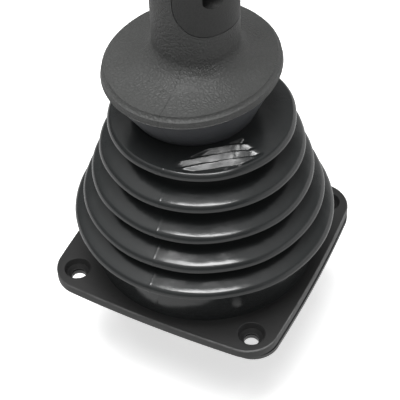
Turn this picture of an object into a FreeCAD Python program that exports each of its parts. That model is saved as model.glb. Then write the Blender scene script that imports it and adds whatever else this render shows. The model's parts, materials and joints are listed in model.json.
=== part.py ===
import FreeCAD, Part
import Sketcher
import math
import os
import re

# Electric joystick for a control panel: a square flange, a five-pleat rubber gaiter,
# a two-axis gimbal under it, and a moulded grip with a palm rest, two thumb buttons
# and a trigger. The origin is the centre of the flange's underside, +Z points up the
# lever, +X away from the operator.

doc = FreeCAD.newDocument("electric_joystick")
sizes = doc.addObject("Spreadsheet::Sheet", "Sizes")

DIMENSIONS = (
    # Flange: mounting plate, seal and frame, from the panel upwards
    ("plate_t", 2.0), ("gasket_t", 1.0), ("frame_t", 4.6),
    ("plate_half_x", 54.8), ("plate_half_y", 51.9), ("plate_corner", 12.5),
    ("gasket_inset", 0.9), ("frame_half", 54.4), ("frame_corner", 14.5),
    ("frame_edge_round", 0.7), ("side_crown", 1.2), ("plate_opening_r", 29.8),
    ("gasket_opening_r", 46.0), ("bolt_pitch", 87.0), ("bolt_hole_r", 3.3),
    ("bolt_head_r", 6.75), ("bolt_head_depth", 2.8), ("bolt_relief", 0.5),
    # Gaiter: radius of each lip and its drop below the one above, the first from the collar
    ("lip_r_1", 40.0), ("lip_r_2", 44.2), ("lip_r_3", 48.6), ("lip_r_4", 53.5), ("lip_r_5", 58.4),
    ("lip_drop_1", 6.6), ("lip_drop_2", 13.8), ("lip_drop_3", 13.45), ("lip_drop_4", 12.75),
    ("lip_drop_5", 11.5),
    ("shoulder_in", 1.6), ("shoulder_up", 3.2), ("lip_round", 3.0), ("valley_depth", 9.5),
    ("valley_round", 1.5), ("valley_roll", 4.6), ("flank_slope", 0.38), ("rubber_t", 1.8),
    ("cuff_r", 50.5), ("cuff_gap", 0.3), ("foot_r", 53.0), ("foot_t", 1.9),
    ("collar_t", 2.6), ("collar_l", 3.5), ("collar_base_h", 81.0), ("rubber_gap", 0.3),
    # Gimbal
    ("pivot_z", 22.0), ("gimbal_ring_r", 19.5), ("gimbal_ring_bore", 14.5),
    ("gimbal_ring_t", 15.0), ("trunnion_r", 4.0), ("running_gap", 0.04), ("bush_wall", 2.0),
    ("pedestal_in", 27.0), ("pedestal_t", 7.0), ("pedestal_half_y", 8.0),
    ("base_ring_r", 40.0), ("base_ring_bore", 17.0), ("base_ring_t", 3.0),
    ("pin_r", 3.0), ("pin_bush_wall", 1.5), ("hub_r", 9.0), ("hub_t", 14.0),
    ("spring_wire_r", 0.7), ("spring_turns", 3.5), ("spring_gap", 0.5), ("leg_past_tab", 1.2),
    ("tab_t", 2.7), ("tab_gap", 0.08),
    ("frame_screw_r", 2.0), ("frame_screw_pitch", 50.2), ("pot_screw_r", 1.5), ("pot_screw_pitch", 30.4),
    ("head_factor", 1.85), ("head_t", 2.0),
    # Lever and magnet
    ("rod_r", 6.0), ("rod_bore_r", 2.5), ("tip_r", 3.5), ("tip_t", 8.0), ("rod_collar_r", 9.0),
    ("rod_collar_t", 3.5), ("rod_out", 1.5), ("fit_gap", 0.02),
    ("holder_r", 5.2), ("holder_floor", 2.8), ("magnet_r", 2.6), ("magnet_t", 1.8),
    ("nut_t", 6.5), ("nut_flats", 17.0),
    # Sensor pot under the flange
    ("pot_r", 27.0), ("pot_wall", 3.0), ("pot_flange_r", 29.5), ("pot_flange_t", 3.0),
    ("pot_floor_t", 3.5), ("pot_depth", 30.0), ("pot_boss_r", 3.5), ("pot_boss_t", 4.5),
    ("cover_boss_r", 3.2), ("cover_boss_t", 16.0), ("cover_screw_at", 21.6),
    ("board_t", 1.6), ("board_r", 23.0), ("board_screw_r", 1.0), ("board_screw_l", 1.9),
    ("hall_side", 5.0), ("hall_t", 1.2), ("chip_side", 7.0), ("chip_t", 1.4), ("chip_at", 9.0),
    ("seal_t", 1.0), ("seal_w", 2.8), ("cover_t", 3.0), ("cover_screw_l", 9.0),
    ("plug_flange_r", 10.0), ("plug_flange_t", 2.0), ("plug_r", 6.0), ("plug_l", 9.0),
    ("plug_recess_r", 4.6), ("plug_recess", 6.5), ("plug_neck", 6.0), ("plug_nut_flats", 16.0),
    ("plug_nut_t", 2.5), ("contact_r", 0.5), ("contact_ring", 2.6), ("contact_l", 4.5),
    # Palm rest and grip
    ("spigot_r", 17.6), ("spigot_out", 1.5), ("skirt_gap", 0.3), ("skirt_x", 26.6), ("skirt_y", 27.0),
    ("skirt_shift", -3.4), ("skirt_hollow_r", 21.7), ("collar_room", 7.5),
    ("rim_x", 36.0), ("rim_y", 40.1), ("rim_shift", -3.55), ("rim_up", 20.7), ("rim_roll", 3.4),
    ("neck_r", 17.6), ("neck_shift", -1.5), ("neck_up", 13.8), ("neck_l", 24.0),
    ("hand_x", 21.0), ("hand_y", 18.6), ("hand_shift", 0.8), ("hand_up", 70.0),
    ("throat_x", 21.0), ("throat_y", 19.6), ("throat_shift", 1.2), ("throat_up", 18.0),
    ("head_x", 27.0), ("head_y", 25.6), ("head_shift", -1.6), ("head_up", 30.0),
    ("crown_x", 28.0), ("crown_y", 26.4), ("crown_shift", -2.6), ("crown_up", 20.0),
    ("section_step", 9.0), ("grip_wall", 3.0), ("floor_up", 2.5), ("split_x", -2.1), ("seam_gap", 0.3),
    ("cover_round", 14.0), ("cover_up", 9.3),
    ("grip_boss_r", 3.9), ("grip_boss_y", 10.8), ("grip_boss_low_up", 29.5), ("grip_boss_high_up", 2.0),
    ("grip_boss_in", 13.0), ("grip_screw_r", 1.5), ("grip_head_r", 3.1), ("grip_head_t", 2.2),
    ("grip_seat_x", 4.5), ("grip_screw_l", 14.0), ("screw_clearance", 0.2),
    # Switch plate and buttons on the slanted top
    ("face_tilt", 25.0), ("face_x", -2.0), ("face_down", 2.0), ("switch_plate_t", 2.6),
    ("button_r", 5.5), ("button_gap", 0.15), ("button_at", 9.5), ("button_out", 3.0),
    ("button_dome", 1.2), ("button_flange", 1.4), ("button_flange_t", 1.8), ("button_stem_r", 2.0),
    ("button_stem_l", 3.0), ("button_travel", 1.5), ("switch_gap", 0.3),
    ("post_r", 2.2), ("post_at_u", 11.0), ("post_at_y", 10.0), ("switch_side", 6.0), ("switch_t", 3.4),
    ("key_r", 1.6), ("key_t", 0.8), ("panel_board_x", 27.0), ("panel_board_y", 28.0), ("board_drop", 5.8),
    # Trigger
    ("trigger_half_y", 6.0), ("trigger_gap", 0.5), ("trigger_pin_r", 1.5), ("trigger_x", 18.0),
    ("trigger_up", 17.0), ("trigger_l", 23.0), ("trigger_out", 11.5), ("trigger_hub_r", 3.4),
    ("trigger_wall", 2.6), ("trigger_lug_t", 2.8), ("trigger_lug_l", 21.0), ("trigger_lug_in", 3.0),
    ("trigger_switch_x", 6.0), ("trigger_switch_t", 8.0), ("trigger_key_r", 1.2), ("trigger_key_l", 2.0),
)

for row, (alias, value) in enumerate(DIMENSIONS, start=1):
    sizes.set(f"A{row}", alias)
    sizes.set(f"B{row}", str(value))
    sizes.setAlias(f"B{row}", alias)
doc.recompute()

ALIASES = {alias for alias, value in DIMENSIONS}
TOP = "(plate_t + gasket_t + frame_t)"
SPIGOT_LOW = f"({TOP} + collar_base_h - spigot_out)"
RIM = "(collar_base_h + rim_up)"
NECK = f"({RIM} + neck_up)"
FLOOR = f"({NECK} + floor_up)"
HAND = f"({FLOOR} + hand_up)"
THROAT = f"({HAND} + throat_up)"
HEAD = f"({THROAT} + head_up)"
CROWN = f"({HEAD} + crown_up)"
TRIGGER_Z = f"({TOP} + {THROAT} + trigger_up)"
RING_POINTS = 16
X_AXIS = FreeCAD.Vector(1, 0, 0)
Y_AXIS = FreeCAD.Vector(0, 1, 0)
Z_AXIS = FreeCAD.Vector(0, 0, 1)
ALONG_X = FreeCAD.Rotation(Y_AXIS, 90)
ALONG_Y = FreeCAD.Rotation(X_AXIS, -90)
UPRIGHT = FreeCAD.Rotation()
PATTERN_CORNERS = ((1, 1), (-1, 1), (-1, -1), (1, -1))
CROSS_POINTS = (("1", "0"), ("0", "1"), ("-1", "0"), ("0", "-1"))

nodes = {}


def sheet_text(text):
    """A size written in plain words, with each name pointing at its cell in the sheet."""
    return re.sub(
        r"[a-z]\w*", lambda m: "Sizes." + m.group() if m.group() in ALIASES else m.group(), str(text),
    )


def number(text):
    return float(sizes.evalExpression(sheet_text(text)))


def bind(thing, prop, text):
    thing.setExpression(prop, sheet_text(text))


def place(thing, at=("0", "0", "0"), turn=UPRIGHT):
    thing.Placement = FreeCAD.Placement(FreeCAD.Vector(), turn)
    for letter, text in zip("xyz", at):
        bind(thing, f"Placement.Base.{letter}", text)
    return thing


def on_face(u, v, w):
    """A point on the slanted top: u forward along the slope, v sideways, w out of it."""
    return (
        f"face_x + ({u}) * cos(face_tilt) - ({w}) * sin(face_tilt)",
        v,
        f"{TOP} + {HEAD} - face_down + ({u}) * sin(face_tilt) + ({w}) * cos(face_tilt)",
    )


def tilt_to_face(thing):
    thing.Placement.Rotation = FreeCAD.Rotation(Y_AXIS, -10)
    bind(thing, "Placement.Rotation.Angle", "-face_tilt")
    return thing


def node(name, thing):
    thing.Label = name
    nodes[name] = thing
    return thing


def cylinder(name, radius, height, at=("0", "0", "0"), turn=UPRIGHT):
    thing = doc.addObject("Part::Cylinder", name)
    bind(thing, "Radius", radius)
    bind(thing, "Height", height)
    return place(thing, at, turn)


def box(name, low, high):
    thing = doc.addObject("Part::Box", name)
    for side, a, b in zip(("Length", "Width", "Height"), low, high):
        bind(thing, side, f"({b}) - ({a})")
    return place(thing, low)


def hex_prism(name, flats, height, at):
    thing = doc.addObject("Part::Prism", name)
    thing.Polygon = 6
    bind(thing, "Circumradius", f"({flats}) / 2 / cos(30)")
    bind(thing, "Height", height)
    return place(thing, at)


def cut(name, base, tool):
    thing = doc.addObject("Part::Cut", name)
    thing.Base = base
    thing.Tool = tool
    return thing


def fuse(name, shapes):
    thing = doc.addObject("Part::MultiFuse", name)
    thing.Shapes = shapes
    return thing


def common(name, a, b):
    thing = doc.addObject("Part::Common", name)
    thing.Base = a
    thing.Tool = b
    return thing


def tube(name, outer, inner, height, at=("0", "0", "0"), turn=UPRIGHT):
    return cut(
        name,
        cylinder(name + "_outer", outer, height, at, turn),
        cylinder(name + "_bore", inner, height, at, turn),
    )


def screws(name, spots, shank_r, shank_l, head_r, head_t, head_up=True):
    """A group of pan-head screws; each spot is the point under a head."""
    pieces = []
    for i, (x, y, z) in enumerate(spots):
        shank_z = f"({z}) - ({shank_l})" if head_up else z
        head_z = z if head_up else f"({z}) - ({head_t})"
        shank = cylinder(f"{name}_shank_{i}", shank_r, shank_l, (x, y, shank_z))
        head = cylinder(f"{name}_head_{i}", head_r, head_t, (x, y, head_z))
        pieces += [shank, head]
    return node(name, fuse(name, pieces))


def origin_plane(body, role):
    return next(plane for plane in body.Origin.OriginFeatures if plane.Role == role)


def new_sketch(body, name, role="XY_Plane"):
    sketch = body.newObject("Sketcher::SketchObject", name)
    sketch.AttachmentSupport = (origin_plane(body, role), "")
    sketch.MapMode = "FlatFace"
    return sketch


def pin_distance(sketch, label, kind, geometry, point, text):
    index = sketch.addConstraint(Sketcher.Constraint(kind, -1, 1, geometry, point, number(text)))
    sketch.renameConstraint(index, label)
    bind(sketch, f"Constraints.{label}", text)


def outline(sketch, tag, corners):
    """A closed outline. A corner is (x, y), or (x, y, radius, side) where an arc leads to the
    next corner and bulges to the left (+1) or right (-1) of the way."""
    points = [FreeCAD.Vector(number(c[0]), number(c[1]), 0) for c in corners]
    ends = []
    for i, corner in enumerate(corners):
        start, stop = points[i], points[(i + 1) % len(points)]
        if len(corner) == 2:
            index = sketch.addGeometry(Part.LineSegment(start, stop), False)
            ends.append((index, 1, 2))
            continue
        radius, side = number(corner[2]), corner[3]
        chord = stop - start
        left = FreeCAD.Vector(-chord.y, chord.x, 0).normalize()
        back = math.sqrt(radius**2 - (chord.Length / 2) ** 2)
        centre = (start + stop) * 0.5 - left * back * side
        angles = [math.atan2(p.y - centre.y, p.x - centre.x) for p in (start, stop)]
        if side > 0:
            angles.reverse()
        circle = Part.Circle(centre, Z_AXIS, radius)
        index = sketch.addGeometry(Part.ArcOfCircle(circle, angles[0], angles[1]), False)
        ends.append((index, 2, 1) if side > 0 else (index, 1, 2))
        radius_index = sketch.addConstraint(Sketcher.Constraint("Radius", index, radius))
        sketch.renameConstraint(radius_index, f"{tag}_r{i}")
        bind(sketch, f"Constraints.{tag}_r{i}", corner[2])
    for i, corner in enumerate(corners):
        index, first, last = ends[i]
        following = ends[(i + 1) % len(ends)]
        sketch.addConstraint(Sketcher.Constraint("Coincident", index, last, following[0], following[1]))
        pin_distance(sketch, f"{tag}_x{i}", "DistanceX", index, first, corner[0])
        pin_distance(sketch, f"{tag}_y{i}", "DistanceY", index, first, corner[1])


def hole(sketch, tag, x, y, radius):
    circle = Part.Circle(FreeCAD.Vector(number(x), number(y), 0), Z_AXIS, number(radius))
    index = sketch.addGeometry(circle, False)
    pin_distance(sketch, f"{tag}_x", "DistanceX", index, 3, x)
    pin_distance(sketch, f"{tag}_y", "DistanceY", index, 3, y)
    radius_index = sketch.addConstraint(Sketcher.Constraint("Radius", index, number(radius)))
    sketch.renameConstraint(radius_index, f"{tag}_r")
    bind(sketch, f"Constraints.{tag}_r", radius)


def revolve_body(name, profile):
    """A body turned about its own Z axis from a closed profile of (radius, height) corners."""
    body = doc.addObject("PartDesign::Body", name)
    sketch = new_sketch(body, name + "_profile", "XZ_Plane")
    outline(sketch, "p", profile)
    turned = body.newObject("PartDesign::Revolution", name + "_turned")
    turned.Profile = sketch
    turned.ReferenceAxis = (sketch, ["V_Axis"])
    turned.Angle = 360
    return body


def pad_body(name, draw, height, z):
    """A body padded up from the XY plane and set at height z."""
    body = doc.addObject("PartDesign::Body", name)
    sketch = new_sketch(body, name + "_outline")
    draw(sketch)
    pad = body.newObject("PartDesign::Pad", name + "_pad")
    pad.Profile = sketch
    bind(pad, "Length", height)
    bind(body, "Placement.Base.z", z)
    return body, pad


def crowned_square(sketch, half_x, half_y, corner):
    """A rounded rectangle whose four sides bow outwards by side_crown."""
    def side_radius(half):
        chord = f"(({half}) - ({corner}))"
        return f"({chord} * {chord} + side_crown * side_crown) / (2 * side_crown)"

    flat_x, flat_y = f"({half_x}) - ({corner})", f"({half_y}) - ({corner})"
    outline(sketch, "edge", (
        (f"-({flat_x})", f"-({half_y})", side_radius(half_x), -1),
        (flat_x, f"-({half_y})", corner, -1),
        (half_x, f"-({flat_y})", side_radius(half_y), -1),
        (half_x, flat_y, corner, -1),
        (flat_x, half_y, side_radius(half_x), -1),
        (f"-({flat_x})", half_y, corner, -1),
        (f"-({half_x})", flat_y, side_radius(half_y), -1),
        (f"-({half_x})", f"-({flat_y})", corner, -1),
    ))


def bolt_circles(sketch, radius):
    for i, (sx, sy) in enumerate(PATTERN_CORNERS):
        hole(sketch, f"bolt{i}", f"{sx} * bolt_pitch / 2", f"{sy} * bolt_pitch / 2", radius)


def square_spots(pitch, z):
    return [(f"{sx} * {pitch} / 2", f"{sy} * {pitch} / 2", z) for sx, sy in PATTERN_CORNERS]


# Flange stack

def make_mounting_plate():
    def draw(sketch):
        crowned_square(sketch, "plate_half_x", "plate_half_y", "plate_corner")
        hole(sketch, "opening", "0", "0", "plate_opening_r")
        bolt_circles(sketch, "bolt_hole_r")
        for i, (x, y, z) in enumerate(square_spots("frame_screw_pitch", "0")):
            hole(sketch, f"tapped{i}", x, y, "frame_screw_r + fit_gap")

    body, pad = pad_body("mounting_plate", draw, "plate_t", "0")
    node("mounting_plate", body)


def make_flange_gasket():
    def draw(sketch):
        crowned_square(
            sketch, "plate_half_x - gasket_inset", "plate_half_y - gasket_inset",
            "plate_corner - gasket_inset",
        )
        hole(sketch, "opening", "0", "0", "gasket_opening_r")
        bolt_circles(sketch, "bolt_hole_r + bolt_relief")

    body, pad = pad_body("flange_gasket", draw, "gasket_t", "plate_t")
    node("flange_gasket", body)


def make_gaiter_frame():
    """The upper frame: counterbored for the panel bolts, rebated below for the gaiter's foot."""
    def draw(sketch):
        crowned_square(sketch, "frame_half", "frame_half", "frame_corner")
        hole(sketch, "opening", "0", "0", "cuff_r + cuff_gap")
        bolt_circles(sketch, "bolt_hole_r")

    body, pad = pad_body("gaiter_frame", draw, "frame_t", "plate_t + gasket_t")
    doc.recompute()
    top_edges = [
        f"Edge{i}" for i, edge in enumerate(pad.Shape.Edges, start=1)
        if min(v.Z for v in edge.Vertexes) > number("frame_t") - 0.01
        and edge.BoundBox.DiagonalLength > number("4 * bolt_hole_r")
        and max(abs(edge.BoundBox.XMax), abs(edge.BoundBox.XMin), edge.BoundBox.YMax) > number("foot_r")
    ]
    rounded = body.newObject("PartDesign::Fillet", "gaiter_frame_round")
    rounded.Base = (pad, top_edges)
    bind(rounded, "Radius", "frame_edge_round")

    heads = new_sketch(body, "gaiter_frame_heads")
    bolt_circles(heads, "bolt_head_r")
    bind(heads, "AttachmentOffset.Base.z", "frame_t")
    sink = body.newObject("PartDesign::Pocket", "gaiter_frame_sink")
    sink.Profile = heads
    bind(sink, "Length", "bolt_head_depth")

    rebate = new_sketch(body, "gaiter_frame_rebate")
    hole(rebate, "rebate", "0", "0", "foot_r + cuff_gap / 3")
    seat = body.newObject("PartDesign::Pocket", "gaiter_frame_seat")
    seat.Profile = rebate
    seat.Reversed = True
    bind(seat, "Length", "foot_t")
    node("gaiter_frame", body)


# Gaiter

def lip(i):
    drops = " - ".join(f"lip_drop_{k}" for k in range(1, i + 1))
    return f"lip_r_{i}", f"({TOP} + collar_base_h - {drops})"


def valley(i):
    return f"(lip_r_{i} - valley_depth)"


def make_gaiter():
    """Five pleats, each a sloped flank, a rounded shoulder, a sharp rim and a recessed valley."""
    lips = range(1, 6)
    foot_z = "(plate_t + gasket_t)"
    collar_in = "(spigot_r + rubber_gap)"
    collar_out = "(spigot_r + rubber_gap + collar_t)"

    collar_top = f"{TOP} + collar_base_h + collar_l"
    outer = [(collar_in, collar_top), (collar_out, collar_top)]
    outer.append((collar_out, f"{TOP} + collar_base_h"))
    for i in lips:
        rim_r, rim_z = lip(i)
        outer.append((f"{rim_r} - shoulder_in", f"{rim_z} + shoulder_up", "lip_round", 1))
        outer.append((rim_r, rim_z))
        if i == 5:
            continue
        next_r, next_z = lip(i + 1)
        shoulder_z = f"({next_z} + shoulder_up)"
        run = f"({next_r} - shoulder_in - {valley(i)} - valley_round)"
        outer.append((f"{valley(i)} + valley_round", f"{rim_z} + 0.5 * valley_round", "valley_roll", -1))
        outer.append((f"{valley(i)} + valley_round", f"{shoulder_z} + flank_slope * {run}"))
    outer.append(("cuff_r + valley_round", f"{lip(5)[1]} + 0.2 * valley_round"))
    outer.append(("cuff_r", f"{lip(5)[1]} - 2 * valley_round"))
    outer.append(("cuff_r", f"{foot_z} + foot_t"))
    outer.append(("foot_r", f"{foot_z} + foot_t"))
    outer.append(("foot_r", foot_z))
    cuff_in = "(cuff_r - rubber_t)"
    inner = [(cuff_in, foot_z), (cuff_in, f"{lip(5)[1]} + 0.2 * rubber_t")]
    for i in reversed(lips):
        rim_r, rim_z = lip(i)
        inner.append((f"{rim_r} - 2.4 * rubber_t", f"{rim_z} + rubber_t"))
        if i == 1:
            break
        run = f"({rim_r} - shoulder_in - {valley(i - 1)} - valley_round)"
        flank_z = f"({rim_z} + shoulder_up + flank_slope * {run})"
        inner.append((f"{valley(i - 1)} - rubber_t", f"{flank_z} - 0.5 * rubber_t"))
        inner.append((f"{valley(i - 1)} - rubber_t", f"{lip(i - 1)[1]} + 0.9 * rubber_t"))
    inner.append((f"{collar_out} + 0.3 * rubber_t", f"{TOP} + collar_base_h - rubber_t"))
    inner.append((collar_in, f"{TOP} + collar_base_h - rubber_t"))
    node("gaiter", revolve_body("gaiter", outer + inner))


def make_collar_clip():
    clip_r = "(spigot_r + 2 * rubber_gap + collar_t)"
    height = f"({TOP} + collar_base_h + collar_t / 3)"
    node("collar_clip", tube(
        "collar_clip", f"{clip_r} + 1.2 * rubber_gap", clip_r, "collar_t", ("0", "0", height),
    ))


# Gimbal

def make_gimbal_frame():
    """A base ring with two pedestals that carry the tilting ring's trunnions."""
    ring = cylinder("gimbal_frame_ring", "base_ring_r", "base_ring_t", ("0", "0", "plate_t"))
    solids = [ring]
    for side in (1, -1):
        name = "front" if side > 0 else "rear"
        near = "pedestal_in" if side > 0 else "-pedestal_in - pedestal_t"
        solids.append(box(
            f"gimbal_frame_leg_{name}", (near, "-pedestal_half_y", "plate_t"),
            (f"{near} + pedestal_t", "pedestal_half_y", "pivot_z"),
        ))
        solids.append(cylinder(
            f"gimbal_frame_ear_{name}", "pedestal_half_y", "pedestal_t", (near, "0", "pivot_z"), ALONG_X
        ))
    coil_out = "(trunnion_r + spring_gap + 2 * spring_wire_r)"
    solids.append(box(
        "gimbal_frame_tab",
        ("(gimbal_ring_r + pedestal_in) / 2 + tab_gap * 4", f"-(trunnion_r + spring_gap - tab_gap)",
         f"pivot_z - {coil_out} - tab_gap * 5 - tab_t"),
        ("pedestal_in + pedestal_t / 2", "trunnion_r + spring_gap - tab_gap",
         f"pivot_z - {coil_out} - tab_gap * 5"),
    ))
    span = "2 * (pedestal_in + pedestal_t)"
    holes = [
        cylinder("gimbal_frame_bore", "base_ring_bore", "base_ring_t", ("0", "0", "plate_t")),
        cylinder("gimbal_frame_bearing", "trunnion_r + running_gap + bush_wall", span,
                 (f"-({span}) / 2", "0", "pivot_z"), ALONG_X),
    ]
    for i, (x, y, z) in enumerate(square_spots("frame_screw_pitch", "plate_t")):
        holes.append(cylinder(
            f"gimbal_frame_hole_{i}", "frame_screw_r + screw_clearance", "base_ring_t", (x, y, z),
        ))
    for i, (x, y, z) in enumerate(square_spots("pot_screw_pitch", "plate_t")):
        holes.append(cylinder(
            f"gimbal_frame_pot_hole_{i}", "pot_screw_r + screw_clearance", "base_ring_t", (x, y, z),
        ))
    node("gimbal_frame", cut(
        "gimbal_frame", fuse("gimbal_frame_solid", solids), fuse("gimbal_frame_holes", holes),
    ))


def make_trunnion_bushes():
    bushes = []
    for side, start in (("front", "pedestal_in"), ("rear", "-pedestal_in - pedestal_t")):
        bushes.append(tube(
            f"trunnion_bush_{side}", "trunnion_r + running_gap + bush_wall", "trunnion_r + running_gap",
            "pedestal_t", (start, "0", "pivot_z"), ALONG_X,
        ))
    node("trunnion_bushes", fuse("trunnion_bushes", bushes))


def make_gimbal_ring():
    """The ring that tilts sideways on its trunnions and carries the lever's cross pin."""
    low = "pivot_z - gimbal_ring_t / 2"
    reach = "2 * (pedestal_in + pedestal_t)"
    coil_out = "(trunnion_r + spring_gap + 2 * spring_wire_r)"
    ring = tube("gimbal_ring_wall", "gimbal_ring_r", "gimbal_ring_bore", "gimbal_ring_t", ("0", "0", low))
    trunnions = cut(
        "gimbal_ring_trunnions",
        cylinder("gimbal_ring_axle", "trunnion_r", reach, (f"-({reach}) / 2", "0", "pivot_z"), ALONG_X),
        cylinder("gimbal_ring_middle", "gimbal_ring_bore", "gimbal_ring_t", ("0", "0", low)),
    )
    outer_tab = box(
        "gimbal_ring_outer_tab",
        ("(gimbal_ring_r + gimbal_ring_bore) / 2", "-(trunnion_r + spring_gap - tab_gap)",
         f"pivot_z - {coil_out} - tab_gap * 5 - tab_t"),
        ("(gimbal_ring_r + pedestal_in) / 2 - tab_gap * 4", "trunnion_r + spring_gap - tab_gap",
         f"pivot_z - {coil_out} - tab_gap * 5"),
    )
    pin_coil_out = "(pin_r + spring_gap + 2 * spring_wire_r)"
    inner_tab = box(
        "gimbal_ring_inner_tab",
        ("-(pin_r + spring_gap - tab_gap)", "(hub_r + gimbal_ring_bore) / 2 + tab_gap * 3",
         f"pivot_z - {pin_coil_out} - tab_gap * 3 - tab_t / 2"),
        ("pin_r + spring_gap - tab_gap", "gimbal_ring_bore + tab_t / 2",
         f"pivot_z - {pin_coil_out} - tab_gap * 3"),
    )
    pin_hole = cylinder(
        "gimbal_ring_pin_hole", "pin_r + running_gap + pin_bush_wall", "2 * gimbal_ring_r",
        ("0", "-gimbal_ring_r", "pivot_z"), ALONG_Y,
    )
    solid = fuse("gimbal_ring_solid", [ring, trunnions, outer_tab, inner_tab])
    node("gimbal_ring", cut("gimbal_ring", solid, pin_hole))


def make_pin_bushes():
    wall = "gimbal_ring_r - gimbal_ring_bore"
    bushes = []
    for side, start in (("left", "gimbal_ring_bore"), ("right", "-gimbal_ring_r")):
        bushes.append(tube(
            f"pin_bush_{side}", "pin_r + running_gap + pin_bush_wall", "pin_r + running_gap",
            wall, ("0", start, "pivot_z"), ALONG_Y,
        ))
    node("pin_bushes", fuse("pin_bushes", bushes))


def torsion_spring(name, coil_r, start, stop, turn, legs_to):
    """A wire coil with two straight legs that reach past the tabs they close on."""
    wire_r = number("spring_wire_r")
    radius = number(coil_r)
    length = number(stop) - number(start) - 2 * wire_r
    leg = number(legs_to)
    turns = number("spring_turns")
    coil = Part.makeHelix(length / turns, length, radius)
    last = FreeCAD.Vector(-radius, 0, length)
    legs = (
        Part.LineSegment(FreeCAD.Vector(radius, -leg, 0), FreeCAD.Vector(radius, 0, 0)).toShape(),
        Part.LineSegment(last, last - FreeCAD.Vector(0, leg, 0)).toShape(),
    )
    path = Part.Wire([legs[0], *coil.Edges, legs[1]])
    section = Part.Wire(Part.makeCircle(wire_r, FreeCAD.Vector(radius, -leg, 0), Y_AXIS))
    thing = doc.addObject("Part::Feature", name)
    thing.Shape = path.makePipeShell([section], True, True)
    middle = turn.multVec(FreeCAD.Vector(0, 0, number(start) + wire_r))
    thing.Placement = FreeCAD.Placement(middle + FreeCAD.Vector(0, 0, number("pivot_z")), turn)
    return node(name, thing)


def make_springs():
    side_turn = FreeCAD.Rotation(Y_AXIS, Z_AXIS, X_AXIS, "XYZ")
    torsion_spring(
        "side_spring", "trunnion_r + spring_gap + spring_wire_r", "gimbal_ring_r + spring_gap",
        "pedestal_in - spring_gap", side_turn,
        "trunnion_r + spring_gap + 2 * spring_wire_r + 5 * tab_gap + tab_t + leg_past_tab",
    )
    fore_turn = FreeCAD.Rotation(-X_AXIS, Z_AXIS, Y_AXIS, "XYZ")
    torsion_spring(
        "fore_spring", "pin_r + spring_gap + spring_wire_r", "hub_r + spring_gap / 4",
        "gimbal_ring_bore - spring_gap / 2", fore_turn,
        "pin_r + spring_gap + 2 * spring_wire_r + 3 * tab_gap + tab_t / 2 + leg_past_tab / 2",
    )


# Lever

def make_lever():
    """A turned steel rod: tip for the magnet, hub for the cross pin, collar under the grip."""
    hub_low = "(pivot_z - hub_t / 2)"
    hub_high = "(pivot_z + hub_t / 2)"
    collar_top = SPIGOT_LOW
    rod_top = f"{TOP} + {FLOOR} + nut_t + rod_out"
    turned = revolve_body("lever_shaft_turned", (
        ("rod_bore_r", hub_high),
        ("rod_bore_r", rod_top),
        ("rod_r", rod_top),
        ("rod_r", collar_top),
        ("rod_collar_r", collar_top),
        ("rod_collar_r", f"{collar_top} - rod_collar_t"),
        ("rod_r", f"{collar_top} - 2 * rod_collar_t"),
        ("rod_r", f"{hub_high} + rod_collar_t"),
        ("hub_r", hub_high),
        ("hub_r", hub_low),
        ("tip_r", hub_low),
        ("tip_r", f"{hub_low} - tip_t"),
        ("0", f"{hub_low} - tip_t"),
        ("0", hub_high),
    ))
    pin_coil_out = "(pin_r + spring_gap + 2 * spring_wire_r)"
    tab = box(
        "lever_shaft_tab",
        ("-(pin_r + spring_gap - tab_gap)", "hub_r / 2",
         f"pivot_z - {pin_coil_out} - tab_gap * 3 - tab_t / 2"),
        ("pin_r + spring_gap - tab_gap", "(hub_r + gimbal_ring_bore) / 2 - tab_gap * 3",
         f"pivot_z - {pin_coil_out} - tab_gap * 3"),
    )
    pin_hole = cylinder(
        "lever_shaft_pin_hole", "pin_r + fit_gap", "2 * hub_r", ("0", "-hub_r", "pivot_z"), ALONG_Y,
    )
    node("lever_shaft", cut("lever_shaft", fuse("lever_shaft_solid", [turned, tab]), pin_hole))
    node("cross_pin", cylinder(
        "cross_pin", "pin_r", "2 * gimbal_ring_r", ("0", "-gimbal_ring_r", "pivot_z"), ALONG_Y,
    ))

    tip_low = "(pivot_z - hub_t / 2 - tip_t)"
    holder_low = f"({tip_low} - holder_floor)"
    node("magnet_holder", revolve_body("magnet_holder", (
        ("0", tip_low),
        ("tip_r + fit_gap", tip_low),
        ("tip_r + fit_gap", f"{tip_low} + tip_t - 2 * spring_wire_r"),
        ("holder_r", f"{tip_low} + tip_t - 2 * spring_wire_r"),
        ("holder_r", holder_low),
        ("magnet_r + fit_gap", holder_low),
        ("magnet_r + fit_gap", f"{holder_low} + magnet_t"),
        ("0", f"{holder_low} + magnet_t"),
    )))
    node("sensor_magnet", cylinder("sensor_magnet", "magnet_r", "magnet_t", ("0", "0", holder_low)))
    nut_z = f"{TOP} + {FLOOR}"
    node("grip_nut", cut(
        "grip_nut", hex_prism("grip_nut_hex", "nut_flats", "nut_t", ("0", "0", nut_z)),
        cylinder("grip_nut_bore", "rod_r + fit_gap", "nut_t", ("0", "0", nut_z)),
    ))


# Sensor pot

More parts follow.
